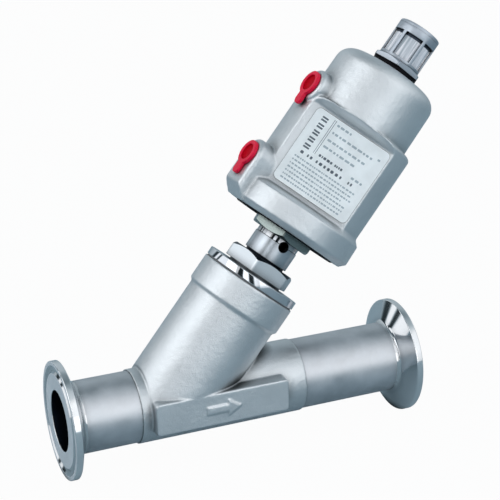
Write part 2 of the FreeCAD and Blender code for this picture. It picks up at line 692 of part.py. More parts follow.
def housing_outside():
    half_angle = math.degrees(math.acos(FLAT_DEPTH / BARREL_R))
    rim = turned([
        (0.0, HOUSING_FOOT), (RIM_BEVEL_R, HOUSING_FOOT), (RIM_R, HOUSING_FOOT + RIM_BEVEL_H),
        (RIM_TOP_R, RIM_TOP), (0.0, RIM_TOP)])
    foot = lofted(round_section(RIM_TOP_R, RIM_TOP, half_angle), flat_section(BARREL_R, BARREL_FOOT, half_angle))
    barrel = Part.Face(flat_section(BARREL_R, BARREL_FOOT, half_angle)).extrude(Vector(0, 0, BARREL_H))
    step = lofted(flat_section(BARREL_R, BARREL_TOP, half_angle), step_section(CROWN_FOOT))
    barrel = barrel.fuse(step).common(barrel_envelope())
    corner = Vector(CROWN_TOP_R - SHOULDER_R, 0, CROWN_TOP - SHOULDER_R)
    lean = math.radians(45.0)
    middle = corner + Vector(SHOULDER_R * math.cos(lean), 0, SHOULDER_R * math.sin(lean))
    edges = [
        line(Vector(0, 0, CROWN_FOOT), Vector(CROWN_R, 0, CROWN_FOOT)),
        line(Vector(CROWN_R, 0, CROWN_FOOT), corner + Vector(SHOULDER_R, 0, 0)),
        arc(corner + Vector(SHOULDER_R, 0, 0), middle, corner + Vector(0, 0, SHOULDER_R)),
        line(corner + Vector(0, 0, SHOULDER_R), Vector(TOP_PAD_R + TOP_PAD_H, 0, CROWN_TOP)),
        line(Vector(TOP_PAD_R + TOP_PAD_H, 0, CROWN_TOP), Vector(TOP_PAD_R, 0, HOUSING_TOP)),
        line(Vector(TOP_PAD_R, 0, HOUSING_TOP), Vector(0, 0, HOUSING_TOP)),
        line(Vector(0, 0, HOUSING_TOP), Vector(0, 0, CROWN_FOOT))]
    crown = Part.Face(Part.Wire(edges)).revolve(ORIGIN, AXIS_Z, 360)
    return rim.fuse([foot, barrel, crown])


def upper_port_boss():
    boss = Part.makeCylinder(PORT_BOSS_R, UPPER_PORT_FACE, Vector(0, 0, UPPER_PORT_AT), AXIS_X)
    return eased(boss, UPPER_PORT_FACE)


def lower_port_block():
    """Block with an arched top that runs down to the foot of the housing and is bevelled there."""
    half = PORT_BOSS_R
    bevel = PORT_BLOCK_BEVEL
    foot = HOUSING_FOOT
    profile = Part.Wire([
        line(Vector(0, -half, foot), Vector(0, half, foot)),
        line(Vector(0, half, foot), Vector(0, half, LOWER_PORT_AT)),
        arc(Vector(0, half, LOWER_PORT_AT), Vector(0, 0, LOWER_PORT_AT + half), Vector(0, -half, LOWER_PORT_AT)),
        line(Vector(0, -half, LOWER_PORT_AT), Vector(0, -half, foot))])
    block = Part.Face(profile).extrude(Vector(LOWER_PORT_FACE, 0, 0))
    wedge_corners = [
        Vector(LOWER_PORT_FACE - bevel, -half - 1.0, foot), Vector(LOWER_PORT_FACE + 1.0, -half - 1.0, foot),
        Vector(LOWER_PORT_FACE + 1.0, -half - 1.0, foot + bevel + 1.0)]
    wedge_corners.append(wedge_corners[0])
    wedge = Part.Face(Part.makePolygon(wedge_corners)).extrude(Vector(0, 2.0 * half + 2.0, 0))
    return eased(block.cut(wedge), LOWER_PORT_FACE)


def eased(solid, face_at):
    """Round the edges of a port face."""
    rim = []
    for edge in solid.Edges:
        box = edge.BoundBox
        if abs(box.XMin - face_at) < 0.001 and abs(box.XMax - face_at) < 0.001:
            rim.append(edge)
    return solid.makeFillet(PORT_EDGE, rim)


def port_hole(height, face_at):
    tapped = Part.makeCylinder(PORT_R, PORT_DEPTH, Vector(face_at - PORT_DEPTH, 0, height), AXIS_X)
    channel = Part.makeCylinder(PORT_CHANNEL_R, face_at, Vector(0, 0, height), AXIS_X)
    return tapped.fuse(channel)


def make_housing():
    solid = housing_outside().fuse([upper_port_boss(), lower_port_block()])
    inside = turned([
        (0.0, HOUSING_FOOT), (COVER_R + ASSEMBLY_GAP, HOUSING_FOOT), (COVER_R + ASSEMBLY_GAP, COVER_TOP),
        (CYLINDER_R, COVER_TOP), (CYLINDER_R, CYLINDER_TOP - 1.0), (CYLINDER_R - 1.0, CYLINDER_TOP),
        (0.0, CYLINDER_TOP)])
    clip_low = COVER_FOOT - COVER_CIRCLIP_T
    clip_bed = rod(COVER_R + ASSEMBLY_GAP + 1.0, clip_low, COVER_FOOT)
    indicator_bore = rod(INDICATOR_THREAD_R, HOUSING_TOP - INDICATOR_THREAD_LENGTH, HOUSING_TOP)
    rod_hole = rod(INDICATOR_ROD_R + ROD_CLEARANCE, CYLINDER_TOP - 1.0, HOUSING_TOP)
    lower = port_hole(LOWER_PORT_AT, LOWER_PORT_FACE)
    upper = port_hole(UPPER_PORT_AT, UPPER_PORT_FACE)
    solid = solid.cut(inside.fuse([clip_bed, indicator_bore, rod_hole, lower, upper]))
    save("actuator_housing", on_branch(solid))


def port_plug(height, face_at):
    """Soft plug with a dished round flange and a pull tab towards the foot."""
    flange = Part.makeCylinder(PLUG_FLANGE_R, PLUG_FLANGE_T, Vector(face_at, 0, height), AXIS_X)
    tab_end = height - PLUG_TAB_LENGTH + PLUG_TAB_R
    waist = PLUG_TAB_WAIST / 2.0
    outline = [(-waist, height), (-PLUG_TAB_R, tab_end), (PLUG_TAB_R, tab_end), (waist, height), (-waist, height)]
    tab_face = Part.Face(Part.makePolygon([Vector(face_at, y, z) for y, z in outline]))
    tab = tab_face.extrude(Vector(PLUG_FLANGE_T, 0, 0))
    tip = Part.makeCylinder(PLUG_TAB_R, PLUG_FLANGE_T, Vector(face_at, 0, tab_end), AXIS_X)
    dish_at = face_at + PLUG_FLANGE_T - PLUG_DISH_DEPTH
    dish = Part.makeCylinder(PLUG_DISH_R, PLUG_DISH_DEPTH, Vector(dish_at, 0, height), AXIS_X)
    shank_r = PORT_R - PLUG_SHANK_GAP
    shank = Part.makeCylinder(shank_r, PLUG_SHANK_LENGTH, Vector(face_at - PLUG_SHANK_LENGTH, 0, height), AXIS_X)
    return flange.fuse([tab, tip, shank]).cut(dish)


def make_port_plugs():
    save("lower_port_plug", on_branch(port_plug(LOWER_PORT_AT, LOWER_PORT_FACE)))
    save("upper_port_plug", on_branch(port_plug(UPPER_PORT_AT, UPPER_PORT_FACE)))


def make_type_plate():
    """Thin plate on the flat, its corners rounded."""
    low = (BARREL_FOOT + BARREL_TOP - PLATE_H) / 2.0 + PLATE_RISE
    plate = Part.makeBox(PLATE_T, PLATE_W, PLATE_H, Vector(FLAT_DEPTH, PLATE_SHIFT - PLATE_W / 2.0, low))
    across = [edge for edge in plate.Edges if abs(edge.tangentAt(edge.FirstParameter).x) > 0.9]
    save("type_plate", on_branch(around(plate.makeFillet(PLATE_CORNER, across), FLAT_ANGLE)))


# Piston, stem and main spring

def make_stem():
    solid = turned([
        (0.0, STEM_FOOT), (DISC_SPIGOT_R, STEM_FOOT), (DISC_SPIGOT_R, SEAL_BACK), (STEM_R, SEAL_BACK),
        (STEM_R, PISTON_FOOT), (STEM_END_R, PISTON_FOOT), (STEM_END_R, STEM_TOP), (0.0, STEM_TOP)])
    save("stem", on_branch(solid.cut(rod(INDICATOR_ROD_R, PISTON_FOOT, STEM_TOP))))


def make_piston():
    solid = turned([
        (STEM_END_R, PISTON_FOOT), (PISTON_R - 1.0, PISTON_FOOT), (PISTON_R, PISTON_FOOT + 1.0),
        (PISTON_R, PISTON_TOP), (PISTON_R - PISTON_RIM_H, PISTON_TOP),
        (PISTON_R - PISTON_RIM_H, PISTON_FLOOR), (STEM_END_R, PISTON_FLOOR)])
    seal_low = PISTON_FOOT + 1.4
    band_low = seal_low + PISTON_SEAL_H + 0.5
    solid = solid.cut(ring(PISTON_R - PISTON_SEAL_DEPTH, FAR, seal_low, seal_low + PISTON_SEAL_H))
    solid = solid.cut(ring(PISTON_R - PISTON_BAND_DEPTH, FAR, band_low, band_low + PISTON_BAND_H))
    bed_r = STEM_END_R + 2.0 * STEM_SEAL_WIRE_R
    bed_low = PISTON_FOOT + PISTON_H / 2.0 - STEM_SEAL_WIRE_R
    solid = solid.cut(rod(bed_r, bed_low, bed_low + 2.0 * STEM_SEAL_WIRE_R))
    save("piston", on_branch(solid))
    running_r = CYLINDER_R - FIT
    seal = turned([
        (PISTON_R - PISTON_SEAL_DEPTH, seal_low), (running_r - 0.6, seal_low), (running_r, seal_low + 0.6),
        (running_r, seal_low + PISTON_SEAL_H - 0.6), (running_r - 0.6, seal_low + PISTON_SEAL_H),
        (PISTON_R - PISTON_SEAL_DEPTH, seal_low + PISTON_SEAL_H)])
    save("piston_seal", on_branch(seal))
    band = ring(PISTON_R - PISTON_BAND_DEPTH, running_r, band_low, band_low + PISTON_BAND_H)
    save("piston_guide_band", on_branch(band))
    ring_at = PISTON_FOOT + PISTON_H / 2.0
    save("stem_o_ring", on_branch(torus(STEM_END_R + STEM_SEAL_WIRE_R, STEM_SEAL_WIRE_R, ring_at)))
    save("piston_washer", on_branch(ring(STEM_END_R, PISTON_WASHER_R, PISTON_FLOOR, WASHER_TOP)))
    nut = chamfered_hexagon(PISTON_NUT_AF, WASHER_TOP, NUT_TOP, 0.0, False, True)
    save("piston_nut", on_branch(nut.cut(rod(STEM_END_R, WASHER_TOP, NUT_TOP))))


def make_main_spring():
    coil = wire_coil(SPRING_R, SPRING_WIRE_R, SPRING_TURNS, PISTON_FLOOR, CYLINDER_TOP)
    save("main_spring", on_branch(coil))


def make_disc():
    holder = turned([
        (DISC_SPIGOT_R, SEAL_FACE), (DISC_SEAL_BORE_R, SEAL_FACE), (DISC_SEAL_BORE_R, SEAL_BACK),
        (DISC_R, SEAL_BACK), (DISC_R, DISC_TOP - 1.0), (DISC_R - 1.0, DISC_TOP), (DISC_HUB_R, DISC_TOP),
        (DISC_HUB_R, HUB_TOP - 1.0), (DISC_HUB_R - 1.0, HUB_TOP), (STEM_R, HUB_TOP), (STEM_R, SEAL_BACK),
        (DISC_SPIGOT_R, SEAL_BACK)])
    save("valve_disc", on_branch(holder))
    save("disc_seal", on_branch(ring(DISC_SEAL_BORE_R, DISC_SEAL_R, SEAL_FACE, SEAL_BACK)))
    washer = turned([
        (DISC_SPIGOT_R, DISC_WASHER_FOOT), (DISC_WASHER_R - 1.2, DISC_WASHER_FOOT),
        (DISC_WASHER_R, DISC_WASHER_FOOT + 1.2), (DISC_WASHER_R, SEAL_FACE), (DISC_SPIGOT_R, SEAL_FACE)])
    save("disc_washer", on_branch(washer))
    nut = chamfered_hexagon(DISC_NUT_AF, DISC_NUT_FOOT, DISC_WASHER_FOOT, 0.0, True, False)
    save("disc_nut", on_branch(nut.cut(rod(DISC_SPIGOT_R, DISC_NUT_FOOT, DISC_WASHER_FOOT))))


# Position indicator

def make_indicator_base():
    hexagon_part = chamfered_hexagon(
        INDICATOR_HEX_AF, INDICATOR_SEAT, GUARD_FOOT, INDICATOR_HEX_VERTEX, False, True)
    thread_r = INDICATOR_THREAD_R - ASSEMBLY_GAP
    thread = rod(thread_r, HOUSING_TOP - INDICATOR_THREAD_LENGTH, INDICATOR_SEAT)
    rod_hole = rod(INDICATOR_ROD_R + ROD_CLEARANCE, HOUSING_TOP - INDICATOR_THREAD_LENGTH, GUARD_FOOT)
    save("indicator_base", on_branch(hexagon_part.fuse(thread).cut(rod_hole)))
    save("indicator_seal", on_branch(ring(INDICATOR_THREAD_R, INDICATOR_SEAL_R, HOUSING_TOP, INDICATOR_SEAT)))


def guard_window():
    """One window of the guard, cut through its wall."""
    half = 180.0 / WINDOW_COUNT - WINDOW_STRUT_ANGLE / 2.0
    low = GUARD_FOOT + WINDOW_FOOT
    reach = 2.0 * GUARD_R
    corners = [Vector(0, 0, low)]
    for angle in (-half, half):
        turn = math.radians(angle)
        corners.append(Vector(reach * math.cos(turn), reach * math.sin(turn), low))
    corners.append(corners[0])
    wedge = Part.Face(Part.makePolygon(corners)).extrude(Vector(0, 0, WINDOW_H))
    return wedge.common(ring(GUARD_BORE_R - 1.0, GUARD_R + 1.0, low, low + WINDOW_H))


def make_guard():
    solid = turned([
        (GUARD_BORE_R, GUARD_FOOT), (GUARD_R, GUARD_FOOT), (GUARD_R, GUARD_TOP - GUARD_CROWN),
        (GUARD_R - GUARD_CROWN, GUARD_TOP), (0.0, GUARD_TOP), (0.0, GUARD_CEILING),
        (GUARD_BORE_R, GUARD_CEILING)])
    for index in range(WINDOW_COUNT):
        solid = solid.cut(around(guard_window(), WINDOW_CENTRE + 360.0 / WINDOW_COUNT * index))
    save("indicator_guard", on_branch(solid))
    save("sight_glass", on_branch(ring(GLASS_BORE_R, GLASS_R, GUARD_FOOT, GUARD_CEILING)))


def make_indicator():
    save("indicator_rod", on_branch(rod(INDICATOR_ROD_R, PISTON_FOOT, HEAD_FOOT)))
    head_r = GLASS_BORE_R - HEAD_GAP
    head = turned([
        (0.0, HEAD_FOOT), (head_r, HEAD_FOOT), (head_r, HEAD_TOP - 0.6), (head_r - 0.6, HEAD_TOP), (0.0, HEAD_TOP)])
    save("indicator_head", on_branch(head))


make_body()
make_ferrules()
make_bonnet()
make_packing()
make_swivel()
make_cover()
make_housing()
make_port_plugs()
make_type_plate()
make_stem()
make_piston()
make_main_spring()
make_disc()
make_indicator_base()
make_guard()
make_indicator()
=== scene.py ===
import json
import math
import random

import bmesh
import bpy
from mathutils import Matrix, Vector


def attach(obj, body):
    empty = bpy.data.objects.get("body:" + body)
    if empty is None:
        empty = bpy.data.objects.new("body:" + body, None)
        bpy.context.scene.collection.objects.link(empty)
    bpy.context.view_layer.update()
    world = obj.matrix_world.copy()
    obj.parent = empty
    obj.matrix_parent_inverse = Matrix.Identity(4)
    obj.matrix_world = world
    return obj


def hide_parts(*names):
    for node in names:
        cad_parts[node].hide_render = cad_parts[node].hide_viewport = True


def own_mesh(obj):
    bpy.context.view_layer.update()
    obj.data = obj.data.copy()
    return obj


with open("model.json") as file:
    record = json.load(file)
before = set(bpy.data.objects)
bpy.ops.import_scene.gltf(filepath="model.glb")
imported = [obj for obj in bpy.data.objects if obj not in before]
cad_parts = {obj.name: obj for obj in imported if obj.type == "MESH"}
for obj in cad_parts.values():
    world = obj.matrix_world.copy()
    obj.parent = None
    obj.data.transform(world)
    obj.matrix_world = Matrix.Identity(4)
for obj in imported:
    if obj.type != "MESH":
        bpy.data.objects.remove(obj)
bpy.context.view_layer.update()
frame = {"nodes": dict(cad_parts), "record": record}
nodes = frame["nodes"]

MM = 0.001
BRANCH_AT = 48.2
BRANCH_ANGLE = 50.0
FLOOR_Z = -25.25

lean = math.radians(BRANCH_ANGLE)
A = Vector((math.cos(lean), 0.0, math.sin(lean)))
U = Vector((-math.sin(lean), 0.0, math.cos(lean)))
ON_BRANCH = Matrix((
    (U.x, 0.0, A.x, BRANCH_AT * MM),
    (U.y, -1.0, A.y, 0.0),
    (U.z, 0.0, A.z, 0.0),
    (0.0, 0.0, 0.0, 1.0)))


# Node tree helpers

AXIS_X = Vector((1.0, 0.0, 0.0))
AXIS_Z = Vector((0.0, 0.0, 1.0))

# How open a spot is, where the painted shade in corners and grooves is darkest and where it ends.
PAINTED_SHADE_DARKEST_AT = 0.4
PAINTED_SHADE_ENDS_AT = 0.96

# Reach in metres of the painted shade, and the share of the colour left at the darkest.
CAST_PAINTED_SHADE = (0.006, 0.10)
TURNED_PAINTED_SHADE = (0.005, 0.15)


class Tree:
    """Short-hand for building one material's nodes."""

    def __init__(self, name):
        self.material = bpy.data.materials.new(name)
        self.material.use_nodes = True
        self.nodes = self.material.node_tree.nodes
        self.links = self.material.node_tree.links
        self.nodes.clear()
        self.out = self.nodes.new("ShaderNodeOutputMaterial")
        self.shader = self.nodes.new("ShaderNodeBsdfPrincipled")
        self.links.new(self.shader.outputs[0], self.out.inputs[0])

    def add(self, kind, **values):
        node = self.nodes.new(kind)
        for key, value in values.items():
            if hasattr(node, key):
                setattr(node, key, value)
            else:
                node.inputs[key].default_value = value
        return node

    def link(self, source, target):
        self.links.new(source, target)

    def feed(self, source, name):
        """Drive one input of the material's shader."""
        self.link(source, self.shader.inputs[name])

    def coords(self):
        return self.add("ShaderNodeTexCoord").outputs["Object"]

    def noise(self, scale, detail=3.0, roughness=0.55, coords=None):
        node = self.add("ShaderNodeTexNoise")
        node.inputs["Scale"].default_value = scale
        node.inputs["Detail"].default_value = detail
        node.inputs["Roughness"].default_value = roughness
        self.link(coords or self.coords(), node.inputs["Vector"])
        return node.outputs[0]

    def spread(self, value, low, high, from_low=0.3, from_high=0.7):
        node = self.add("ShaderNodeMapRange")
        node.inputs["From Min"].default_value = from_low
        node.inputs["From Max"].default_value = from_high
        node.inputs["To Min"].default_value = low
        node.inputs["To Max"].default_value = high
        self.link(value, node.inputs["Value"])
        return node.outputs[0]

    def blend(self, factor, first, second):
        node = self.add("ShaderNodeMix", data_type="RGBA")
        node.inputs["A"].default_value = (*first, 1.0)
        node.inputs["B"].default_value = (*second, 1.0)
        self.link(factor, node.inputs["Factor"])
        return node.outputs["Result"]

    def with_painted_crevice_shade(self, color, reach, least):
        """The colour with painted shade in corners and grooves within reach, darkened down to the least
        share of it.
        """
        open_sky = self.add("ShaderNodeAmbientOcclusion", samples=8)
        open_sky.inputs["Distance"].default_value = reach
        share = self.spread(open_sky.outputs["AO"], least, 1.0, PAINTED_SHADE_DARKEST_AT, PAINTED_SHADE_ENDS_AT)
        scaled = self.add("ShaderNodeVectorMath", operation="SCALE")
        self.link(color, scaled.inputs[0])
        self.link(share, scaled.inputs["Scale"])
        return scaled.outputs[0]

    def turned_to(self, axis):
        """Coordinates whose Z runs along the axis."""
        node = self.add("ShaderNodeMapping", vector_type="TEXTURE")
        node.inputs["Rotation"].default_value = AXIS_Z.rotation_difference(axis).to_euler()
        self.link(self.coords(), node.inputs["Vector"])
        return node.outputs[0]

    def stretched(self, coords, scale):
        node = self.add("ShaderNodeMapping")
        node.inputs["Scale"].default_value = scale
        self.link(coords, node.inputs["Vector"])
        return node.outputs[0]

    def bump(self, heights, distance):
        """Bump of several heights, each (value, share)."""
        total = None
        for value, share in heights:
            scaled = self.add("ShaderNodeMath", operation="MULTIPLY")
            scaled.inputs[1].default_value = share
            self.link(value, scaled.inputs[0])
            if total is None:
                total = scaled.outputs[0]
            else:
                joined = self.add("ShaderNodeMath", operation="ADD")
                self.link(total, joined.inputs[0])
                self.link(scaled.outputs[0], joined.inputs[1])
                total = joined.outputs[0]
        node = self.add("ShaderNodeBump")
        node.inputs["Strength"].default_value = 1.0
        node.inputs["Distance"].default_value = distance
        self.link(total, node.inputs["Height"])
        self.feed(node.outputs[0], "Normal")

    def set(self, **values):
        for key, value in values.items():
            name = key.replace("_", " ")
            self.shader.inputs[name].default_value = value


def blasted_steel(name, light, dark, rough, depth=0.0001):
    """Investment cast stainless steel after bead blasting: matte, finely grained, slightly mottled."""
    tree = Tree(name)
    tree.set(Metallic=1.0)
    mottle = tree.noise(70.0, 4.0)
    color = tree.blend(tree.spread(mottle, 0.0, 1.0), dark, light)
    # Painted shade darkens the colour in corners and grooves.
    tree.feed(tree.with_painted_crevice_shade(color, *CAST_PAINTED_SHADE), "Base Color")
    grain = tree.noise(2600.0, 2.0)
    tree.feed(tree.spread(grain, rough - 0.04, rough + 0.06), "Roughness")
    tree.bump([(grain, 0.9), (tree.noise(520.0, 3.0), 1.3), (tree.noise(90.0, 2.0), 2.4)], depth)
    return tree.material


def turned_steel(name, color, rough, along=None, marks=1.0, cloud=1.0):
    """Machined stainless steel with fine marks round its turning axis. Cloud is how uneven it is."""
    tree = Tree(name)
    tree.set(Metallic=1.0)
    haze = tree.noise(90.0, 4.0)
    dark = tuple((1.0 - 0.07 * cloud) * value for value in color)
    uneven = tree.blend(tree.spread(haze, 0.0, 1.0), dark, color)
    # Painted shade darkens the colour in corners and grooves.
    tree.feed(tree.with_painted_crevice_shade(uneven, *TURNED_PAINTED_SHADE), "Base Color")
    tree.feed(tree.spread(haze, rough - 0.02 * cloud, rough + 0.03 * cloud), "Roughness")
    heights = [(tree.noise(160.0, 2.0), 0.5)]
    if along is not None:
        squeezed = tree.stretched(tree.turned_to(along), (0.01, 0.01, 1.0))
        heights.append((tree.noise(5200.0, 2.0, 0.6, squeezed), 1.0))
    tree.bump(heights, 0.000004 * marks)
    return tree.material


def moulded(name, color, rough, specular=0.5):
    """Moulded plastic or rubber with a faint skin texture."""
    tree = Tree(name)
    tree.set(Specular_IOR_Level=specular)
    dark = tuple(0.86 * value for value in color)
    mottle = tree.spread(tree.noise(160.0, 3.0), 0.0, 1.0)
    tree.feed(tree.blend(mottle, dark, color), "Base Color")
    grain = tree.noise(1800.0, 2.0)
    tree.feed(tree.spread(grain, rough - 0.04, rough + 0.05), "Roughness")
    tree.bump([(grain, 0.5), (tree.noise(300.0, 2.0), 1.0)], 0.00003)
    return tree.material


def streaked_tube(name, light, dark, along):
    """Milky tube, drawn opaque: the light it bends shows as soft streaks along its axis."""
    tree = Tree(name)
    drawn = tree.stretched(tree.turned_to(along), (1.0, 1.0, 0.06))
    streaks = tree.noise(420.0, 3.0, 0.55, drawn)
    share = tree.spread(streaks, 0.0, 1.0, 0.36, 0.52)
    tree.feed(tree.blend(share, dark, light), "Base Color")
    tree.feed(tree.spread(streaks, 0.24, 0.14), "Roughness")
    return tree.material


CAST = blasted_steel("cast_steel", (0.74, 0.77, 0.79), (0.67, 0.70, 0.72), 0.42)
# Painted shade: the boss under the actuator is a darker copy of the cast steel, for the shade it sits in.
BOSS_PAINTED_SHADE = blasted_steel("painted_shade_boss_steel", (0.27, 0.31, 0.30), (0.22, 0.26, 0.25), 0.22, 0.00003)
GUARD = turned_steel("satin_guard_steel", (0.50, 0.545, 0.60), 0.42, A, 0.5)
BORE = turned_steel("shaded_bore_steel", (0.05, 0.07, 0.11), 0.22, AXIS_X)
HEXAGON = turned_steel("hexagon_steel", (0.62, 0.66, 0.69), 0.32, A)
TURNED = turned_steel("turned_steel", (0.72, 0.74, 0.76), 0.24, A)
SATIN = turned_steel("satin_tube_steel", (0.72, 0.74, 0.77), 0.41, AXIS_X, 1.6, 3.4)
FLANGE = turned_steel("polished_flange_steel", (0.84, 0.85, 0.86), 0.07, AXIS_X, 0.6)
FACE = turned_steel("lapped_face_steel", (0.95, 0.95, 0.97), 0.5, AXIS_X, 0.6)
POLISHED = turned_steel("polished_steel", (0.66, 0.68, 0.71), 0.07, A, 0.6)
NECK = turned_steel("neck_steel", (0.52, 0.56, 0.60), 0.30, A, 1.4)
# Painted shade: dark steel drawn in bores, holes and shaded bands.
SHADED = turned_steel("painted_shade_steel", (0.06, 0.075, 0.10), 0.4, A)
SPRING = turned_steel("spring_steel", (0.45, 0.46, 0.48), 0.35)
PTFE = moulded("seal_plastic", (0.86, 0.86, 0.84), 0.45)
BRONZE = turned_steel("bush_bronze", (0.55, 0.38, 0.20), 0.4, A)
RUBBER = moulded("seal_rubber", (0.004, 0.004, 0.006), 0.55, specular=0.1)
GASKET = moulded("gasket_plastic", (0.2, 0.2, 0.21), 0.5)
RED = moulded("red_plug_plastic", (0.86, 0.004, 0.05), 0.36, specular=0.26)
DEEP_RED = moulded("red_plug_dish", (0.56, 0.0, 0.012), 0.5, specular=0.08)
PLATE = moulded("label_film", (0.93, 0.98, 1.0), 0.34)
INK = moulded("label_ink", (0.09, 0.12, 0.15), 0.5)
FAINT_INK = moulded("label_faint_ink", (0.40, 0.48, 0.53), 0.5)
CLEAR = streaked_tube("clear_plastic", (0.92, 0.92, 0.97), (0.36, 0.42, 0.47), A)
PALE = moulded("indicator_plastic", (0.75, 0.76, 0.77), 0.4)

SLOT_MATERIALS = {
    "blasted_steel": CAST, "polished_steel": POLISHED, "turned_steel": TURNED, "spring_steel": SPRING,
    "nut_steel": TURNED, "white_ptfe": PTFE, "bush_bronze": BRONZE, "black_rubber": RUBBER,
    "grey_gasket": GASKET, "red_plastic": RED, "plate_film": PLATE, "clear_plastic": CLEAR,
    "indicator_white": PALE}

for part in frame["record"]["subparts"]:
    mesh = nodes[part["node"]].data
    mesh.materials.clear()
    mesh.materials.append(SLOT_MATERIALS[part["material_slot"]])


# Mesh helpers. Profiles are in millimetres, as (radius, height) in the branch frame.

def keep(name, mesh, material, body, replaced=(), sharp=32.0, matrix=ON_BRANCH):
    """Finish a mesh as one piece of the model."""
    mesh.transform(matrix)
    mesh.materials.clear()
    mesh.materials.append(material)
    mesh.shade_smooth()
    mesh.set_sharp_from_angle(angle=math.radians(sharp))
    piece = bpy.data.objects.new(name, mesh)
    bpy.context.collection.objects.link(piece)
    if replaced:
        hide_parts(*replaced)
    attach(piece, body)
    return piece


def zones(mesh, wanted):
    """Faces of further materials. Wanted lists (material, test of radius, height and place in mm)."""
    found = {}
    for face in mesh.polygons:
        spot = face.center / MM
        r = math.hypot(spot.x, spot.y)
        for number, (material, test) in enumerate(wanted, 1):
            if test(r, spot.z, spot):
                found[face.index] = number
                break
    return found


def paint(piece, materials, found):
    """Add further materials to a piece. Found maps a face to the number of its material."""
    for material in materials:
        piece.data.materials.append(material)
    for index, number in found.items():
        piece.data.polygons[index].material_index = number


def keep_zoned(name, mesh, material, body, replaced, sharp, wanted, matrix=ON_BRANCH):
    """Finish a mesh some of whose zones take further materials."""
    found = zones(mesh, wanted)
    piece = keep(name, mesh, material, body, replaced, sharp, matrix)
    paint(piece, [entry[0] for entry in wanted], found)


def eased(corners, steps=4):
    """Closed outline of (radius, height, fillet) corners with each corner rounded by its fillet."""
    outline = []
    count = len(corners)
    for index, (r, z, fillet) in enumerate(corners):
        here = Vector((r, z))
        before = Vector(corners[index - 1][:2]) - here
        after = Vector(corners[(index + 1) % count][:2]) - here
        if fillet <= 0.0:
            outline.append((r, z))
            continue
        opening = before.angle(after)
        reach = min(fillet / math.tan(opening / 2.0), 0.45 * before.length, 0.45 * after.length)
        start = here + before.normalized() * reach
        end = here + after.normalized() * reach
        for step in range(steps + 1):
            share = step / steps
            point = start * (1.0 - share) ** 2 + here * 2.0 * share * (1.0 - share) + end * share ** 2
            outline.append((point.x, point.y))
    return outline


def spun(name, outline, segments=192, start=0.0):
    """Mesh of revolution about Z. An entry is a point, or a function of the angle that gives one."""
    mesh = bpy.data.meshes.new(name)
    build = bmesh.new()
    rings = []
    for entry in outline:
        ring = []
        for segment in range(segments):
            angle = start + 360.0 * segment / segments
            r, z = entry(angle) if callable(entry) else entry
            turn = math.radians(angle)
            ring.append(build.verts.new((r * math.cos(turn) * MM, r * math.sin(turn) * MM, z * MM)))
        rings.append(ring)
    for index, ring in enumerate(rings):
        inner = rings[index - 1]
        for segment in range(segments):
            after = (segment + 1) % segments
            build.faces.new((inner[segment], inner[after], ring[after], ring[segment]))
    bmesh.ops.remove_doubles(build, verts=build.verts, dist=1e-7)
    bmesh.ops.recalc_face_normals(build, faces=build.faces)
    build.to_mesh(mesh)
    build.free()
    return mesh


# A hexagon's turned faces: their radius as a share of its width, the cone's angle and the corners' loss.
HEX_FACE_SHARE = 0.4925
HEX_CONE_ANGLE = 32.0
HEX_CORNER_CUT = 0.12


def hexagon_r(across_flats, vertex, angle):
    """Radius of a hexagon at an angle, its corners turned off a little."""
    turn = math.radians((angle - vertex) % 60.0 - 30.0)
    return min(across_flats / 2.0 / math.cos(turn), across_flats / math.sqrt(3.0) - HEX_CORNER_CUT)


def hexagon_edge(across_flats, vertex, height, bevel):
    """Edge of a hexagon's side where a cone turns it off. Bevel is +1 at the top, -1 at the foot."""
    slope = math.tan(math.radians(HEX_CONE_ANGLE))

    def at(angle):
        r = hexagon_r(across_flats, vertex, angle)
        return r, height - bevel * slope * (r - HEX_FACE_SHARE * across_flats)

    return at


def hexagon_side(across_flats, vertex, height):
    return lambda angle: (hexagon_r(across_flats, vertex, angle), height)


def modified(mesh, name, **settings):
    """The mesh after one modifier. Settings are the modifier's own."""
    scratch = bpy.data.objects.new("scratch", mesh)
    bpy.context.collection.objects.link(scratch)
    modifier = scratch.modifiers.new("change", name)
    for key, value in settings.items():
        setattr(modifier, key, value)
    bpy.context.view_layer.update()
    depsgraph = bpy.context.evaluated_depsgraph_get()
    result = bpy.data.meshes.new_from_object(scratch.evaluated_get(depsgraph))
    bpy.data.objects.remove(scratch)
    return result


def cut(mesh, tool_mesh):
    """Boolean difference of two meshes."""
    tool = bpy.data.objects.new("tool", tool_mesh)
    bpy.context.collection.objects.link(tool)
    result = modified(mesh, "BOOLEAN", operation="DIFFERENCE", solver="EXACT", object=tool)
    bpy.data.objects.remove(tool)
    return result


MOST_TRIANGLES = 180000


def softened(node, voxel, passes):
    """Copy of a CAD node with its edges worn round, as on a casting, thinned where it is too fine."""
    mesh = nodes[node].data.copy()
    mesh = modified(mesh, "REMESH", mode="VOXEL", voxel_size=voxel * MM, use_smooth_shade=True)
    mesh = modified(mesh, "SMOOTH", factor=0.5, iterations=passes)
    triangles = sum(len(face.vertices) - 2 for face in mesh.polygons)
    if triangles > MOST_TRIANGLES:
        mesh = modified(mesh, "DECIMATE", ratio=MOST_TRIANGLES / triangles)
    return mesh


# Castings

IDENTITY = Matrix.Identity(4)
ALL_SMOOTH = 180.0
body_mesh = softened("valve_body", 0.42, 2)
keep("body_casting", body_mesh, CAST, "valve", ["valve_body"], ALL_SMOOTH, IDENTITY)
housing_mesh = softened("actuator_housing", 0.46, 1)
keep("housing_casting", housing_mesh, CAST, "actuator", ["actuator_housing"], ALL_SMOOTH, IDENTITY)


# Clamp ferrules

FACE_TO_FACE = 158.0
PIPE_BORE_R = 13.0
TUBE_R = 15.4
FLANGE_R = 25.25
FLANGE_RIM = 2.85
FLANGE_ROOT_R = 2.0
GROOVE_R = 21.75
GROOVE_HALF = 1.72
GROOVE_CORNER_DEPTH = 1.375
FLANGE_BACK_ANGLE = 20.0
GROOVE_EASE = 2.4
INLET_STUB = 31.5
OUTLET_STUB = 52.0
TUBE_SATIN_FROM = 8.4


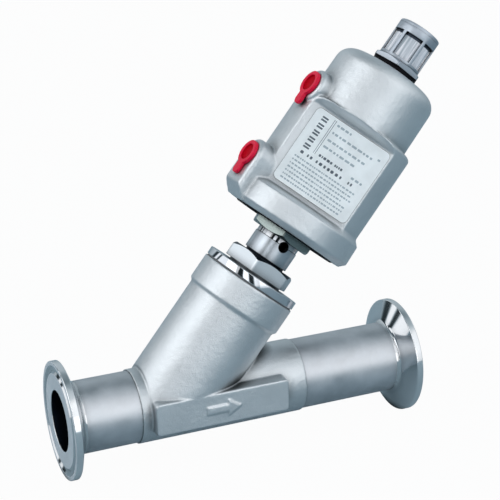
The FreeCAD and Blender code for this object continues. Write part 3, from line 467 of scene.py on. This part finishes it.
def ferrule(name, stub, matrix, node):
    """Clamp end, its face at height 0. Easing makes the groove shallower than its deepest corner."""
    root = FLANGE_RIM + (FLANGE_R - TUBE_R) * math.tan(math.radians(FLANGE_BACK_ANGLE))
    corners = [
        (PIPE_BORE_R, 0.0, 0.3),
        (GROOVE_R - GROOVE_HALF, 0.0, 0.25), (GROOVE_R, GROOVE_CORNER_DEPTH, GROOVE_EASE),
        (GROOVE_R + GROOVE_HALF, 0.0, 0.25),
        (FLANGE_R, 0.0, 0.45), (FLANGE_R, FLANGE_RIM, 0.45), (TUBE_R, root, FLANGE_ROOT_R),
        (TUBE_R, stub, 0.0), (PIPE_BORE_R, stub, 0.0)]
    mesh = spun(name, eased(corners, 6), 224)
    wanted = [
        (BORE, lambda r, z, spot: r < PIPE_BORE_R + 0.1 and z > 0.4),
        (FACE, lambda r, z, spot: z < 0.05),
        (SATIN, lambda r, z, spot: z > TUBE_SATIN_FROM)]
    keep_zoned(name, mesh, FLANGE, "valve", [node], 24.0, wanted, matrix)


TO_INLET = Matrix.Rotation(math.radians(90.0), 4, "Y")
TURN_BACK = Matrix.Rotation(math.radians(-90.0), 4, "Y")
TO_OUTLET = Matrix.Translation((FACE_TO_FACE * MM, 0.0, 0.0)) @ TURN_BACK
ferrule("inlet_clamp_end", INLET_STUB, TO_INLET, "inlet_ferrule")
ferrule("outlet_clamp_end", OUTLET_STUB, TO_OUTLET, "outlet_ferrule")


# Bonnet

THREAD_R = 17.9
RING_R = 21.7
RELIEF_R = 12.6
NECK_R = 10.2
NECK_FOOT_R = 9.3
LAND_R = 9.9
SPIGOT_R = 9.0
STEM_WAY_R = 4.8
PACKING_R = 7.0
PACKING_FOOT = 58.9
THREAD_FOOT = 47.5
FLANGE_SEAT = 61.0
RING_TOP = 64.4
HEX_FOOT = 65.4
HEX_TOP = 72.0
NECK_TOP = 81.3
LAND_TOP = 84.2
BONNET_TOP = 99.5
BONNET_HEX_AF = 28.0
BONNET_HEX_VERTEX = 53.5
WEEP_AT = 81.0
WEEP_R = 2.4
WEEP_ANGLE = 84.0


def bonnet():
    """Bonnet turned in one piece, from its thread up to the land that the actuator turns on."""
    outline = eased([
        (STEM_WAY_R, THREAD_FOOT, 0.2), (THREAD_R, THREAD_FOOT, 1.0), (THREAD_R, FLANGE_SEAT, 0.0),
        (RING_R, FLANGE_SEAT, 0.3), (RING_R, RING_TOP, 0.35), (RELIEF_R, RING_TOP, 0.2)])
    outline += [
        (RELIEF_R, HEX_FOOT - 0.15),
        hexagon_side(BONNET_HEX_AF - 0.25, BONNET_HEX_VERTEX, HEX_FOOT),
        hexagon_side(BONNET_HEX_AF, BONNET_HEX_VERTEX, HEX_FOOT + 0.12),
        hexagon_edge(BONNET_HEX_AF, BONNET_HEX_VERTEX, HEX_TOP, 1),
        (HEX_FACE_SHARE * BONNET_HEX_AF, HEX_TOP)]
    outline += [
        (NECK_FOOT_R, HEX_TOP), (NECK_FOOT_R, HEX_TOP + 0.75), (NECK_FOOT_R + 0.15, HEX_TOP + 0.9),
        (NECK_R - 0.15, HEX_TOP + 0.95), (NECK_R, HEX_TOP + 1.1),
        (NECK_R, NECK_TOP - 0.2), (NECK_R - 0.15, NECK_TOP - 0.05)]
    outline += [
        (LAND_R, NECK_TOP), (LAND_R, LAND_TOP - 0.15), (LAND_R - 0.15, LAND_TOP),
        (SPIGOT_R, LAND_TOP), (SPIGOT_R, BONNET_TOP - 0.6), (SPIGOT_R - 0.6, BONNET_TOP),
        (PACKING_R, BONNET_TOP), (PACKING_R, PACKING_FOOT), (STEM_WAY_R, PACKING_FOOT)]
    mesh = spun("bonnet_turning", outline, 240, BONNET_HEX_VERTEX)
    drill = spun("drill", [(0.0, 0.0), (WEEP_R, 0.0), (WEEP_R, 12.0), (0.0, 12.0)], 48)
    turn = math.radians(WEEP_ANGLE)
    bearing_turn = Matrix.Rotation(turn, 4, "Z")
    lie_down = Matrix.Rotation(math.radians(90.0), 4, "Y")
    drill.transform(Matrix.Translation((0.0, 0.0, WEEP_AT * MM)) @ bearing_turn @ lie_down)
    mesh = cut(mesh, drill)
    bearing = Vector((math.cos(turn), math.sin(turn), 0.0))

    def in_hole(spot):
        rise = spot - Vector((0.0, 0.0, WEEP_AT))
        return rise.dot(bearing) > 0.0 and rise.cross(bearing).length < WEEP_R + 0.03

    # Painted shade: the bore, the weep hole and the band round the hexagon's top chamfer take the dark
    # steel.
    wanted = [
        (SHADED, lambda r, z, spot: r < SPIGOT_R - 0.1 or in_hole(spot)),
        (HEXAGON, lambda r, z, spot: RING_TOP - 0.03 < z < HEX_TOP - 0.8),
        (POLISHED, lambda r, z, spot: z < RING_TOP or NECK_TOP - 0.1 < z < LAND_TOP + 0.1),
        (SHADED, lambda r, z, spot: HEX_TOP - 0.8 < z < HEX_TOP + 0.6),
        (NECK, lambda r, z, spot: z > HEX_TOP)]
    keep_zoned("bonnet_turning", mesh, TURNED, "valve", ["bonnet"], 30.0, wanted)


bonnet()


# Actuator cover and the ring in its mouth, seen from below

COVER_SEAT = 84.6
WASHER_GAP = 0.03
BOSS_FOOT = 83.4
COVER_FOOT = 89.7
COVER_TOP = 97.3
COVER_R = 24.4
COVER_BORE_R = 9.05
WASHER_POCKET_R = 10.25
COVER_BOSS_AF = 26.5
COVER_BOSS_VERTEX = 65.0


def cover():
    """Foot cover. Its seat stands a hair clear of the washer, so that they share no face as it turns."""
    seat = COVER_SEAT + WASHER_GAP
    outline = [
        (COVER_BORE_R, COVER_TOP), (COVER_BORE_R, seat), (WASHER_POCKET_R, seat),
        (WASHER_POCKET_R, BOSS_FOOT + 0.15), (WASHER_POCKET_R + 0.15, BOSS_FOOT),
        (HEX_FACE_SHARE * COVER_BOSS_AF, BOSS_FOOT),
        hexagon_edge(COVER_BOSS_AF, COVER_BOSS_VERTEX, BOSS_FOOT, -1),
        hexagon_side(COVER_BOSS_AF, COVER_BOSS_VERTEX, COVER_FOOT),
        (COVER_R, COVER_FOOT), (COVER_R, COVER_TOP - 0.8), (COVER_R - 0.8, COVER_TOP)]
    mesh = spun("cover_turning", outline, 240, COVER_BOSS_VERTEX)
    # Painted shade: the cover takes the dark boss steel, for the shade under the actuator.
    keep("cover_turning", mesh, BOSS_PAINTED_SHADE, "actuator", ["actuator_cover"], 28.0)


cover()

SHADE_RING_FOOT = 86.8
SHADE_RING_TOP = 88.5
SHADE_RING_R = COVER_R
SHADE_RING_WALL = 2.2
SHADE_RING_CHAMFER = 0.4


def dust_seal():
    """Black ring in the mouth of the foot, black as painted shade for the dark line under the housing's
    foot. It is shorter than the CAD ring, to match the photo's line.
    """
    inner = SHADE_RING_R - SHADE_RING_WALL
    outline = eased([
        (inner, SHADE_RING_FOOT, 0.2), (SHADE_RING_R - SHADE_RING_CHAMFER, SHADE_RING_FOOT, 0.2),
        (SHADE_RING_R, SHADE_RING_FOOT + SHADE_RING_CHAMFER, 0.2),
        (SHADE_RING_R, SHADE_RING_TOP, 0.1), (inner, SHADE_RING_TOP, 0.1)])
    mesh = spun("cover_shade_ring", outline)
    # Painted shade: the ring is drawn in black rubber for the dark line under the foot.
    keep("cover_shade_ring", mesh, RUBBER, "actuator", ["cover_dust_seal"])


dust_seal()


# Position indicator

HOUSING_TOP = 168.5
SEAL_T = 1.5
INDICATOR_SEAT = HOUSING_TOP + SEAL_T
SEAL_SHOWN_TOP = INDICATOR_SEAT + 0.7
SEAL_R = 10.35
INDICATOR_BORE_R = 2.3
INDICATOR_SPIGOT_R = 6.9
INDICATOR_SPIGOT_DEPTH = 3.2
GUARD_FOOT = INDICATOR_SEAT + 3.1
GUARD_TOP = GUARD_FOOT + 17.0
GUARD_R = 9.6
GUARD_BORE_R = 8.5
GUARD_CROWN_H = 1.4
GUARD_EDGE = 0.18
TUBE_OUTER_R = 8.35
TUBE_INNER_R = 7.5
TUBE_SHADE_H = 1.3
INDICATOR_HEX_AF = 21.0
INDICATOR_HEX_VERTEX = 60.0
WINDOW_COUNT = 6
WINDOW_CENTRE = 57.0
WINDOW_STRUT_ANGLE = 9.0
WINDOW_FOOT = 1.5
WINDOW_H = 10.8
WINDOW_ROWS = 6
WINDOW_STEPS = 16


def indicator_flange():
    """Foot of the indicator. The black gasket takes the lowest part of its flange, as the photo shows."""
    face_r = HEX_FACE_SHARE * INDICATOR_HEX_AF
    spigot_foot = HOUSING_TOP - INDICATOR_SPIGOT_DEPTH
    outline = [
        (INDICATOR_BORE_R, GUARD_FOOT), (INDICATOR_BORE_R, spigot_foot),
        (INDICATOR_SPIGOT_R, spigot_foot), (INDICATOR_SPIGOT_R, SEAL_SHOWN_TOP),
        (face_r, SEAL_SHOWN_TOP),
        hexagon_side(INDICATOR_HEX_AF, INDICATOR_HEX_VERTEX, SEAL_SHOWN_TOP + 0.15),
        hexagon_edge(INDICATOR_HEX_AF, INDICATOR_HEX_VERTEX, GUARD_FOOT, 1), (face_r, GUARD_FOOT)]
    mesh = spun("indicator_flange", outline, 240, INDICATOR_HEX_VERTEX)
    keep("indicator_flange", mesh, GUARD, "actuator", ["indicator_base"], 28.0)


def guard_angles():
    """Angles of the wall's columns: four over each strut, then those over the window after it."""
    pitch = 360.0 / WINDOW_COUNT
    half = WINDOW_STRUT_ANGLE / 2.0
    width = pitch - WINDOW_STRUT_ANGLE
    angles = []
    for window in range(WINDOW_COUNT):
        strut = WINDOW_CENTRE + pitch * window - pitch / 2.0
        angles += [strut - half, strut - half / 3.0, strut + half / 3.0, strut + half]
        angles += [strut + half + width * step / WINDOW_STEPS for step in range(1, WINDOW_STEPS)]
    return angles


def guard_wall():
    """Grid of the guard's outside without its windows."""
    low = GUARD_FOOT + WINDOW_FOOT
    high = low + WINDOW_H
    rows = [GUARD_FOOT, low]
    rows += [low + WINDOW_H * step / WINDOW_ROWS for step in range(1, WINDOW_ROWS)]
    rows += [high, (high + GUARD_TOP) / 2.0, GUARD_TOP - GUARD_CROWN_H]
    angles = guard_angles()
    count = len(angles)
    per_window = count // WINDOW_COUNT
    build = bmesh.new()
    grid = []
    for z in rows:
        ring = []
        for angle in angles:
            turn = math.radians(angle)
            place = (GUARD_R * math.cos(turn) * MM, GUARD_R * math.sin(turn) * MM, z * MM)
            ring.append(build.verts.new(place))
        grid.append(ring)
    for row, (lower, upper) in enumerate(zip(grid, grid[1:])):
        for column in range(count):
            if 1 <= row <= WINDOW_ROWS and column % per_window >= 3:
                continue
            after = (column + 1) % count
            build.faces.new((lower[column], lower[after], upper[after], upper[column]))
    wall = bpy.data.meshes.new("guard_wall")
    build.to_mesh(wall)
    build.free()
    return wall


def guard():
    """Windowed sleeve, whose grid is given its thickness and rounded edges, and its closed crown."""
    thickness = (GUARD_R - GUARD_BORE_R) * MM
    sharpest = math.radians(50.0)
    wall = modified(guard_wall(), "SOLIDIFY", thickness=thickness, offset=-1.0, use_even_offset=True)
    edge = GUARD_EDGE * MM
    wall = modified(wall, "BEVEL", width=edge, segments=2, limit_method="ANGLE", angle_limit=sharpest)
    keep("guard_sleeve", wall, GUARD, "actuator", ["indicator_guard"], 32.0)
    crown = [
        (0.0, GUARD_TOP - GUARD_CROWN_H), (GUARD_R, GUARD_TOP - GUARD_CROWN_H), (GUARD_R, GUARD_TOP - 0.55),
        (GUARD_R - 0.15, GUARD_TOP - 0.2), (GUARD_R - 0.5, GUARD_TOP), (0.0, GUARD_TOP)]
    keep("guard_crown", spun("guard_crown", crown), GUARD, "actuator", [], 32.0)


def sight_tube():
    """Tube in the guard, its top dark where the crown shades it."""
    shade = GUARD_FOOT + WINDOW_FOOT + WINDOW_H - TUBE_SHADE_H
    top = GUARD_TOP - GUARD_CROWN_H - 0.05
    outline = eased([
        (TUBE_INNER_R, GUARD_FOOT, 0.1), (TUBE_OUTER_R, GUARD_FOOT, 0.1), (TUBE_OUTER_R, shade, 0.0),
        (TUBE_OUTER_R, top, 0.1), (TUBE_INNER_R, top, 0.1), (TUBE_INNER_R, shade, 0.0)])
    mesh = spun("sight_tube", outline, 160)
    # Painted shade on the tube's top, under the crown.
    wanted = [(SHADED, lambda r, z, spot: z > shade)]
    keep_zoned("sight_tube", mesh, CLEAR, "actuator", ["sight_glass"], 32.0, wanted)


indicator_flange()
guard()
sight_tube()


# Red transport plugs and the indicator's gasket

FROM_BRANCH = ON_BRANCH.inverted()
DISH_R = 3.75
DISH_REACH = 1.2
LOWER_PLUG_AT = 105.4
LOWER_PLUG_FACE = 34.2
UPPER_PLUG_AT = 143.8
UPPER_PLUG_FACE = 28.6


def plug(side, height, face_at):
    """Soft plug. The floor of its dish is a deeper red, as the light hardly gets in."""
    mesh = softened(side + "_port_plug", 0.2, 3)
    found = {}
    for face in mesh.polygons:
        spot = FROM_BRANCH @ face.center / MM
        in_dish = math.hypot(spot.y, spot.z - height) < DISH_R
        if in_dish and face_at + 0.1 < spot.x < face_at + DISH_REACH:
            found[face.index] = 1
    name = side + "_transport_plug"
    piece = keep(name, mesh, RED, "actuator", [side + "_port_plug"], ALL_SMOOTH, IDENTITY)
    paint(piece, [DEEP_RED], found)


def indicator_gasket():
    """Black gasket under the indicator. It is taller than in the CAD, to match the photo's band."""
    inner = INDICATOR_SPIGOT_R + 0.1
    outline = eased([
        (inner, HOUSING_TOP, 0.3), (SEAL_R, HOUSING_TOP, 0.3),
        (SEAL_R, SEAL_SHOWN_TOP, 0.3), (inner, SEAL_SHOWN_TOP, 0.3)])
    mesh = spun("indicator_gasket", outline, 160)
    keep("indicator_gasket", mesh, RUBBER, "actuator", ["indicator_seal"])


plug("lower", LOWER_PLUG_AT, LOWER_PLUG_FACE)
plug("upper", UPPER_PLUG_AT, UPPER_PLUG_FACE)
indicator_gasket()


# Type plate on the flat, with generic print

FLAT_DEPTH = 18.6
FLAT_ANGLE = 60.0
PLATE_W = 36.0
PLATE_H = 34.6
PLATE_T = 0.3
PLATE_SHIFT = 1.4
PLATE_RISE = 0.5
PLATE_CORNER = 2.0
FLAT_FOOT = 100.9
FLAT_TOP = 138.4
PLATE_FOOT = (FLAT_FOOT + FLAT_TOP - PLATE_H) / 2.0 + PLATE_RISE
INK_T = 0.02
PRINT_SEED = 7

# Print, in millimetres from the plate's left, right and top edges.
BLOCK_COUNT = 5
BLOCK_PITCH = 3.3
BLOCK_DROP = 4.2
BLOCK_LEFT = 3.6
BLOCK_RIGHT = 6.4
STROKE_H = 0.75
STROKE_PITCH = 1.25
RULES = (8.6, 9.4)
RULE_W = 0.2
RULE_DROP = 1.0
RULE_END = 17.4
SIDE_ROWS = ((2.8, 18.5), (6.4, 31.0), (9.9, 30.0), (13.0, 27.0))
FINE_COUNT = 7
FINE_DROP = 22.5
FINE_PITCH = 1.75
ON_FLAT = ON_BRANCH @ Matrix.Rotation(math.radians(FLAT_ANGLE), 4, "Z")


def sheet(build, left, right, low, high, depth, corner):
    """Rounded rectangle on the flat, its corners from quarter circles."""
    centres = [
        (right - corner, high - corner), (left + corner, high - corner),
        (left + corner, low + corner), (right - corner, low + corner)]
    verts = []
    for quarter, (across, up) in enumerate(centres):
        for step in range(7):
            turn = math.radians(90.0 * quarter + 15.0 * step)
            y = across + corner * math.cos(turn)
            z = up + corner * math.sin(turn)
            verts.append(build.verts.new((depth * MM, y * MM, z * MM)))
    build.faces.new(verts)


def solid_sheets(name, build, thickness, material, replaced):
    """Give flat sheets their thickness and keep them as one piece."""
    mesh = bpy.data.meshes.new(name)
    build.to_mesh(mesh)
    build.free()
    mesh = modified(mesh, "SOLIDIFY", thickness=thickness * MM, offset=1.0)
    keep(name, mesh, material, "actuator", replaced, 32.0, ON_FLAT)


def printed_row(build, rng, left, right, height, size, word, gap):
    """A row of plain dashes of uneven length, in place of print."""
    start = left
    while start < right:
        end = min(start + word * rng.uniform(0.5, 1.6), right)
        if end - start > size * 0.5:
            sheet(build, start, end, height, height + size, FLAT_DEPTH + PLATE_T, size * 0.3)
        start = end + gap * rng.uniform(0.8, 1.4)


def type_plate():
    """Label film with plain bars, rules and dashes in place of its print."""
    left = PLATE_SHIFT - PLATE_W / 2.0
    right = left + PLATE_W
    build = bmesh.new()
    sheet(build, left, right, PLATE_FOOT, PLATE_FOOT + PLATE_H, FLAT_DEPTH, PLATE_CORNER)
    solid_sheets("label_film", build, PLATE_T, PLATE, ["type_plate"])

    rng = random.Random(PRINT_SEED)
    dark = bmesh.new()
    faint = bmesh.new()
    top = PLATE_FOOT + PLATE_H
    depth = FLAT_DEPTH + PLATE_T
    for block in range(BLOCK_COUNT):
        foot = top - BLOCK_DROP - BLOCK_PITCH * block
        for low in (foot, foot + STROKE_PITCH):
            sheet(dark, left + BLOCK_LEFT, left + BLOCK_RIGHT, low, low + STROKE_H, depth, 0.15)
    for rule in RULES:
        sheet(dark, left + rule, left + rule + RULE_W, top - RULE_END, top - RULE_DROP, depth, RULE_W / 2.0)

    # Each row has its ink, its two ends, its drop from the top, its height, and its words and gaps.
    rows = [(faint, left + 10.6, left + end, drop, 0.95, 1.5, 0.55) for drop, end in SIDE_ROWS]
    rows += [
        (faint, right - 3.6, right - 2.4, 5.2, 0.9, 1.2, 1.0),
        (dark, left + 11.2, left + 23.5, 17.2, 1.1, 1.0, 0.3),
        (faint, right - 8.5, right - 2.6, 17.6, 1.0, 1.2, 0.5),
        (dark, left + 4.0, right - 5.5, 20.2, 1.3, 0.9, 0.7)]
    for ink, start, end, drop, size, word, gap in rows:
        printed_row(ink, rng, start, end, top - drop, size, word, gap)
    for row in range(FINE_COUNT):
        end = right - 2.5 - 5.0 * rng.random()
        height = top - FINE_DROP - FINE_PITCH * row
        printed_row(faint, rng, left + 2.8, end, height, 0.7, 0.9, 0.32)
    solid_sheets("label_dark_print", dark, INK_T, INK, [])
    solid_sheets("label_faint_print", faint, INK_T, FAINT_INK, [])


type_plate()


# Main spring, which shortens as the stem lifts on the real valve; here it keeps the CAD coil's shape in a
# mesh of its own

coil_mesh = nodes["main_spring"].data.copy()
coil = keep("main_spring_coil", coil_mesh, SPRING, "actuator", ["main_spring"], 40.0, IDENTITY)
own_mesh(coil)


# Floor, light and camera

# Bearings in radians from the front, negative to the left, each with its brightness.
PANELS = [
    (-3.14, 0.44), (-2.75, 0.60), (-2.64, 0.04), (-2.52, 0.04), (-2.48, 1.0), (-2.38, 1.0),
    (-2.34, 0.04), (-2.26, 0.04), (-2.22, 1.0), (-1.12, 1.0), (-1.09, 0.02), (-0.76, 0.02),
    (-0.73, 1.5), (-0.52, 1.5), (-0.50, 0.02), (-0.31, 0.02), (-0.27, 1.25), (-0.05, 0.85),
    (0.45, 0.90), (0.75, 0.85), (1.30, 0.60), (2.20, 0.36), (3.14, 0.44)]

# The same from -1, straight below, to 1, straight above.
HEIGHTS = [(-1.0, 0.25), (-0.1, 0.6), (0.12, 0.85), (0.4, 1.0), (0.72, 1.0), (0.9, 0.6), (1.0, 0.5)]
STUDIO_LEVEL = 1.34
DARK_TINT = (0.60, 0.86, 1.0)
LIGHT_TINT = (0.93, 0.965, 1.0)
FLOOR_HALF = 3.0
FLOOR_COLOR = (0.32, 0.42, 0.475, 1.0)
FLOOR_WHITE = 0.97
SKY_WHITE = (0.975, 0.975, 0.975, 1.0)

# Lamps, each with its place, its target, the sides of its panel and its power.
KEY = ((-0.87, -0.23, 0.88), (0.08, 0.0, 0.06), (0.8, 0.8), 1.6)
FILL = ((0.24, -0.80, 0.16), (0.14, 0.0, 0.11), (0.45, 0.45), 0.45)

# The camera fitted to the photo, in degrees, metres and millimetres of lens.
CAMERA_YAW = 22.105
CAMERA_PITCH = 18.176
CAMERA_ROLL = -2.188
CAMERA_DISTANCE = 0.605515
CAMERA_TARGET = Vector((0.088232, 0.0, 0.060566))
CAMERA_LENS = 102.874


def make_floor():
    """Floor that the camera sees as white, and that the object sees as blue grey."""
    mesh = bpy.data.meshes.new("floor")
    signs = ((-1, -1), (1, -1), (1, 1), (-1, 1))
    corners = [(x * FLOOR_HALF, y * FLOOR_HALF, FLOOR_Z * MM) for x, y in signs]
    mesh.from_pydata(corners, [], [(0, 1, 2, 3)])
    floor = bpy.data.objects.new("floor", mesh)
    bpy.context.collection.objects.link(floor)
    tree = Tree("floor_white")
    tree.set(Roughness=0.9)
    tree.shader.inputs["Base Color"].default_value = FLOOR_COLOR
    path = tree.add("ShaderNodeLightPath")
    mix = tree.add("ShaderNodeMixShader")
    seen = tree.add("ShaderNodeMath", operation="MAXIMUM")
    tree.link(path.outputs["Is Camera Ray"], seen.inputs[0])
    tree.link(path.outputs["Is Transmission Ray"], seen.inputs[1])
    share = tree.add("ShaderNodeMath", operation="MULTIPLY")
    share.inputs[1].default_value = FLOOR_WHITE
    tree.link(seen.outputs[0], share.inputs[0])
    tree.link(share.outputs[0], mix.inputs[0])
    tree.link(tree.shader.outputs[0], mix.inputs[1])
    tree.link(tree.add("ShaderNodeEmission", Strength=1.0).outputs[0], mix.inputs[2])
    tree.link(mix.outputs[0], tree.out.inputs[0])
    mesh.materials.append(tree.material)


def make_world():
    """Soft studio of bright and dark panels, dimmer at the right and behind. The camera sees white."""
    world = bpy.data.worlds.new("studio")
    bpy.context.scene.world = world
    world.use_nodes = True
    world_nodes = world.node_tree.nodes
    links = world.node_tree.links
    world_nodes.clear()

    def math_node(operation, first, second):
        node = world_nodes.new("ShaderNodeMath")
        node.operation = operation
        for socket, value in zip(node.inputs, (first, second)):
            if isinstance(value, float):
                socket.default_value = value
            else:
                links.new(value, socket)
        return node.outputs[0]

    def ramp(value, low, high, stops):
        """Strength along a value that runs from low to high, from (value, strength) stops."""
        share = world_nodes.new("ShaderNodeMapRange")
        share.inputs["From Min"].default_value = low
        share.inputs["From Max"].default_value = high
        links.new(value, share.inputs["Value"])
        node = world_nodes.new("ShaderNodeValToRGB")
        node.color_ramp.interpolation = "EASE"
        points = node.color_ramp.elements
        while len(points) < len(stops):
            points.new(0.5)
        for point, (at, strength) in zip(points, stops):
            point.position = (at - low) / (high - low)
            point.color = (strength, strength, strength, 1.0)
        links.new(share.outputs[0], node.inputs[0])
        return node.outputs[0]

    coords = world_nodes.new("ShaderNodeTexCoord")
    parts = world_nodes.new("ShaderNodeSeparateXYZ")
    links.new(coords.outputs["Generated"], parts.inputs[0])
    front = math_node("MULTIPLY", parts.outputs["Y"], -1.0)
    bearing = math_node("ARCTAN2", parts.outputs["X"], front)
    panels = ramp(bearing, -math.pi, math.pi, PANELS)
    height = ramp(parts.outputs["Z"], -1.0, 1.0, HEIGHTS)
    strength = math_node("MULTIPLY", math_node("MULTIPLY", panels, height), STUDIO_LEVEL)
    studio = world_nodes.new("ShaderNodeBackground")
    tint = world_nodes.new("ShaderNodeMix")
    tint.data_type = "RGBA"
    tint.inputs[6].default_value = (*DARK_TINT, 1.0)
    tint.inputs[7].default_value = (*LIGHT_TINT, 1.0)
    links.new(strength, tint.inputs[0])
    links.new(tint.outputs[2], studio.inputs["Color"])
    links.new(strength, studio.inputs["Strength"])
    white = world_nodes.new("ShaderNodeBackground")
    white.inputs["Color"].default_value = SKY_WHITE
    path = world_nodes.new("ShaderNodeLightPath")
    seen = math_node("MAXIMUM", path.outputs["Is Camera Ray"], path.outputs["Is Transmission Ray"])
    mix = world_nodes.new("ShaderNodeMixShader")
    links.new(seen, mix.inputs[0])
    links.new(studio.outputs[0], mix.inputs[1])
    links.new(white.outputs[0], mix.inputs[2])
    out = world_nodes.new("ShaderNodeOutputWorld")
    links.new(mix.outputs[0], out.inputs[0])


def lamp(name, place, target, size, power):
    data = bpy.data.lights.new(name, "AREA")
    data.shape = "RECTANGLE"
    data.size, data.size_y = size
    data.energy = power
    light = bpy.data.objects.new(name, data)
    light.location = place
    toward = Vector(target) - Vector(place)
    light.rotation_euler = toward.to_track_quat("-Z", "Y").to_euler()
    bpy.context.collection.objects.link(light)


def make_camera():
    yaw = math.radians(CAMERA_YAW)
    pitch = math.radians(CAMERA_PITCH)
    roll = math.radians(CAMERA_ROLL)
    back = Vector((-math.sin(yaw) * math.cos(pitch), -math.cos(yaw) * math.cos(pitch), math.sin(pitch)))
    right = AXIS_Z.cross(back).normalized()
    up = back.cross(right)
    side = right * math.cos(roll) + up * math.sin(roll)
    top = up * math.cos(roll) - right * math.sin(roll)
    data = bpy.data.cameras.new("camera")
    data.lens = CAMERA_LENS
    data.sensor_width = 36.0
    data.clip_start = 0.01
    camera = bpy.data.objects.new("camera", data)
    place = CAMERA_TARGET + back * CAMERA_DISTANCE
    camera.matrix_world = Matrix((
        (side.x, top.x, back.x, place.x),
        (side.y, top.y, back.y, place.y),
        (side.z, top.z, back.z, place.z),
        (0.0, 0.0, 0.0, 1.0)))
    bpy.context.collection.objects.link(camera)
    bpy.context.scene.camera = camera


make_floor()
make_world()
lamp("key", *KEY)
lamp("fill", *FILL)
make_camera()
bpy.context.scene.view_settings.view_transform = "Standard"
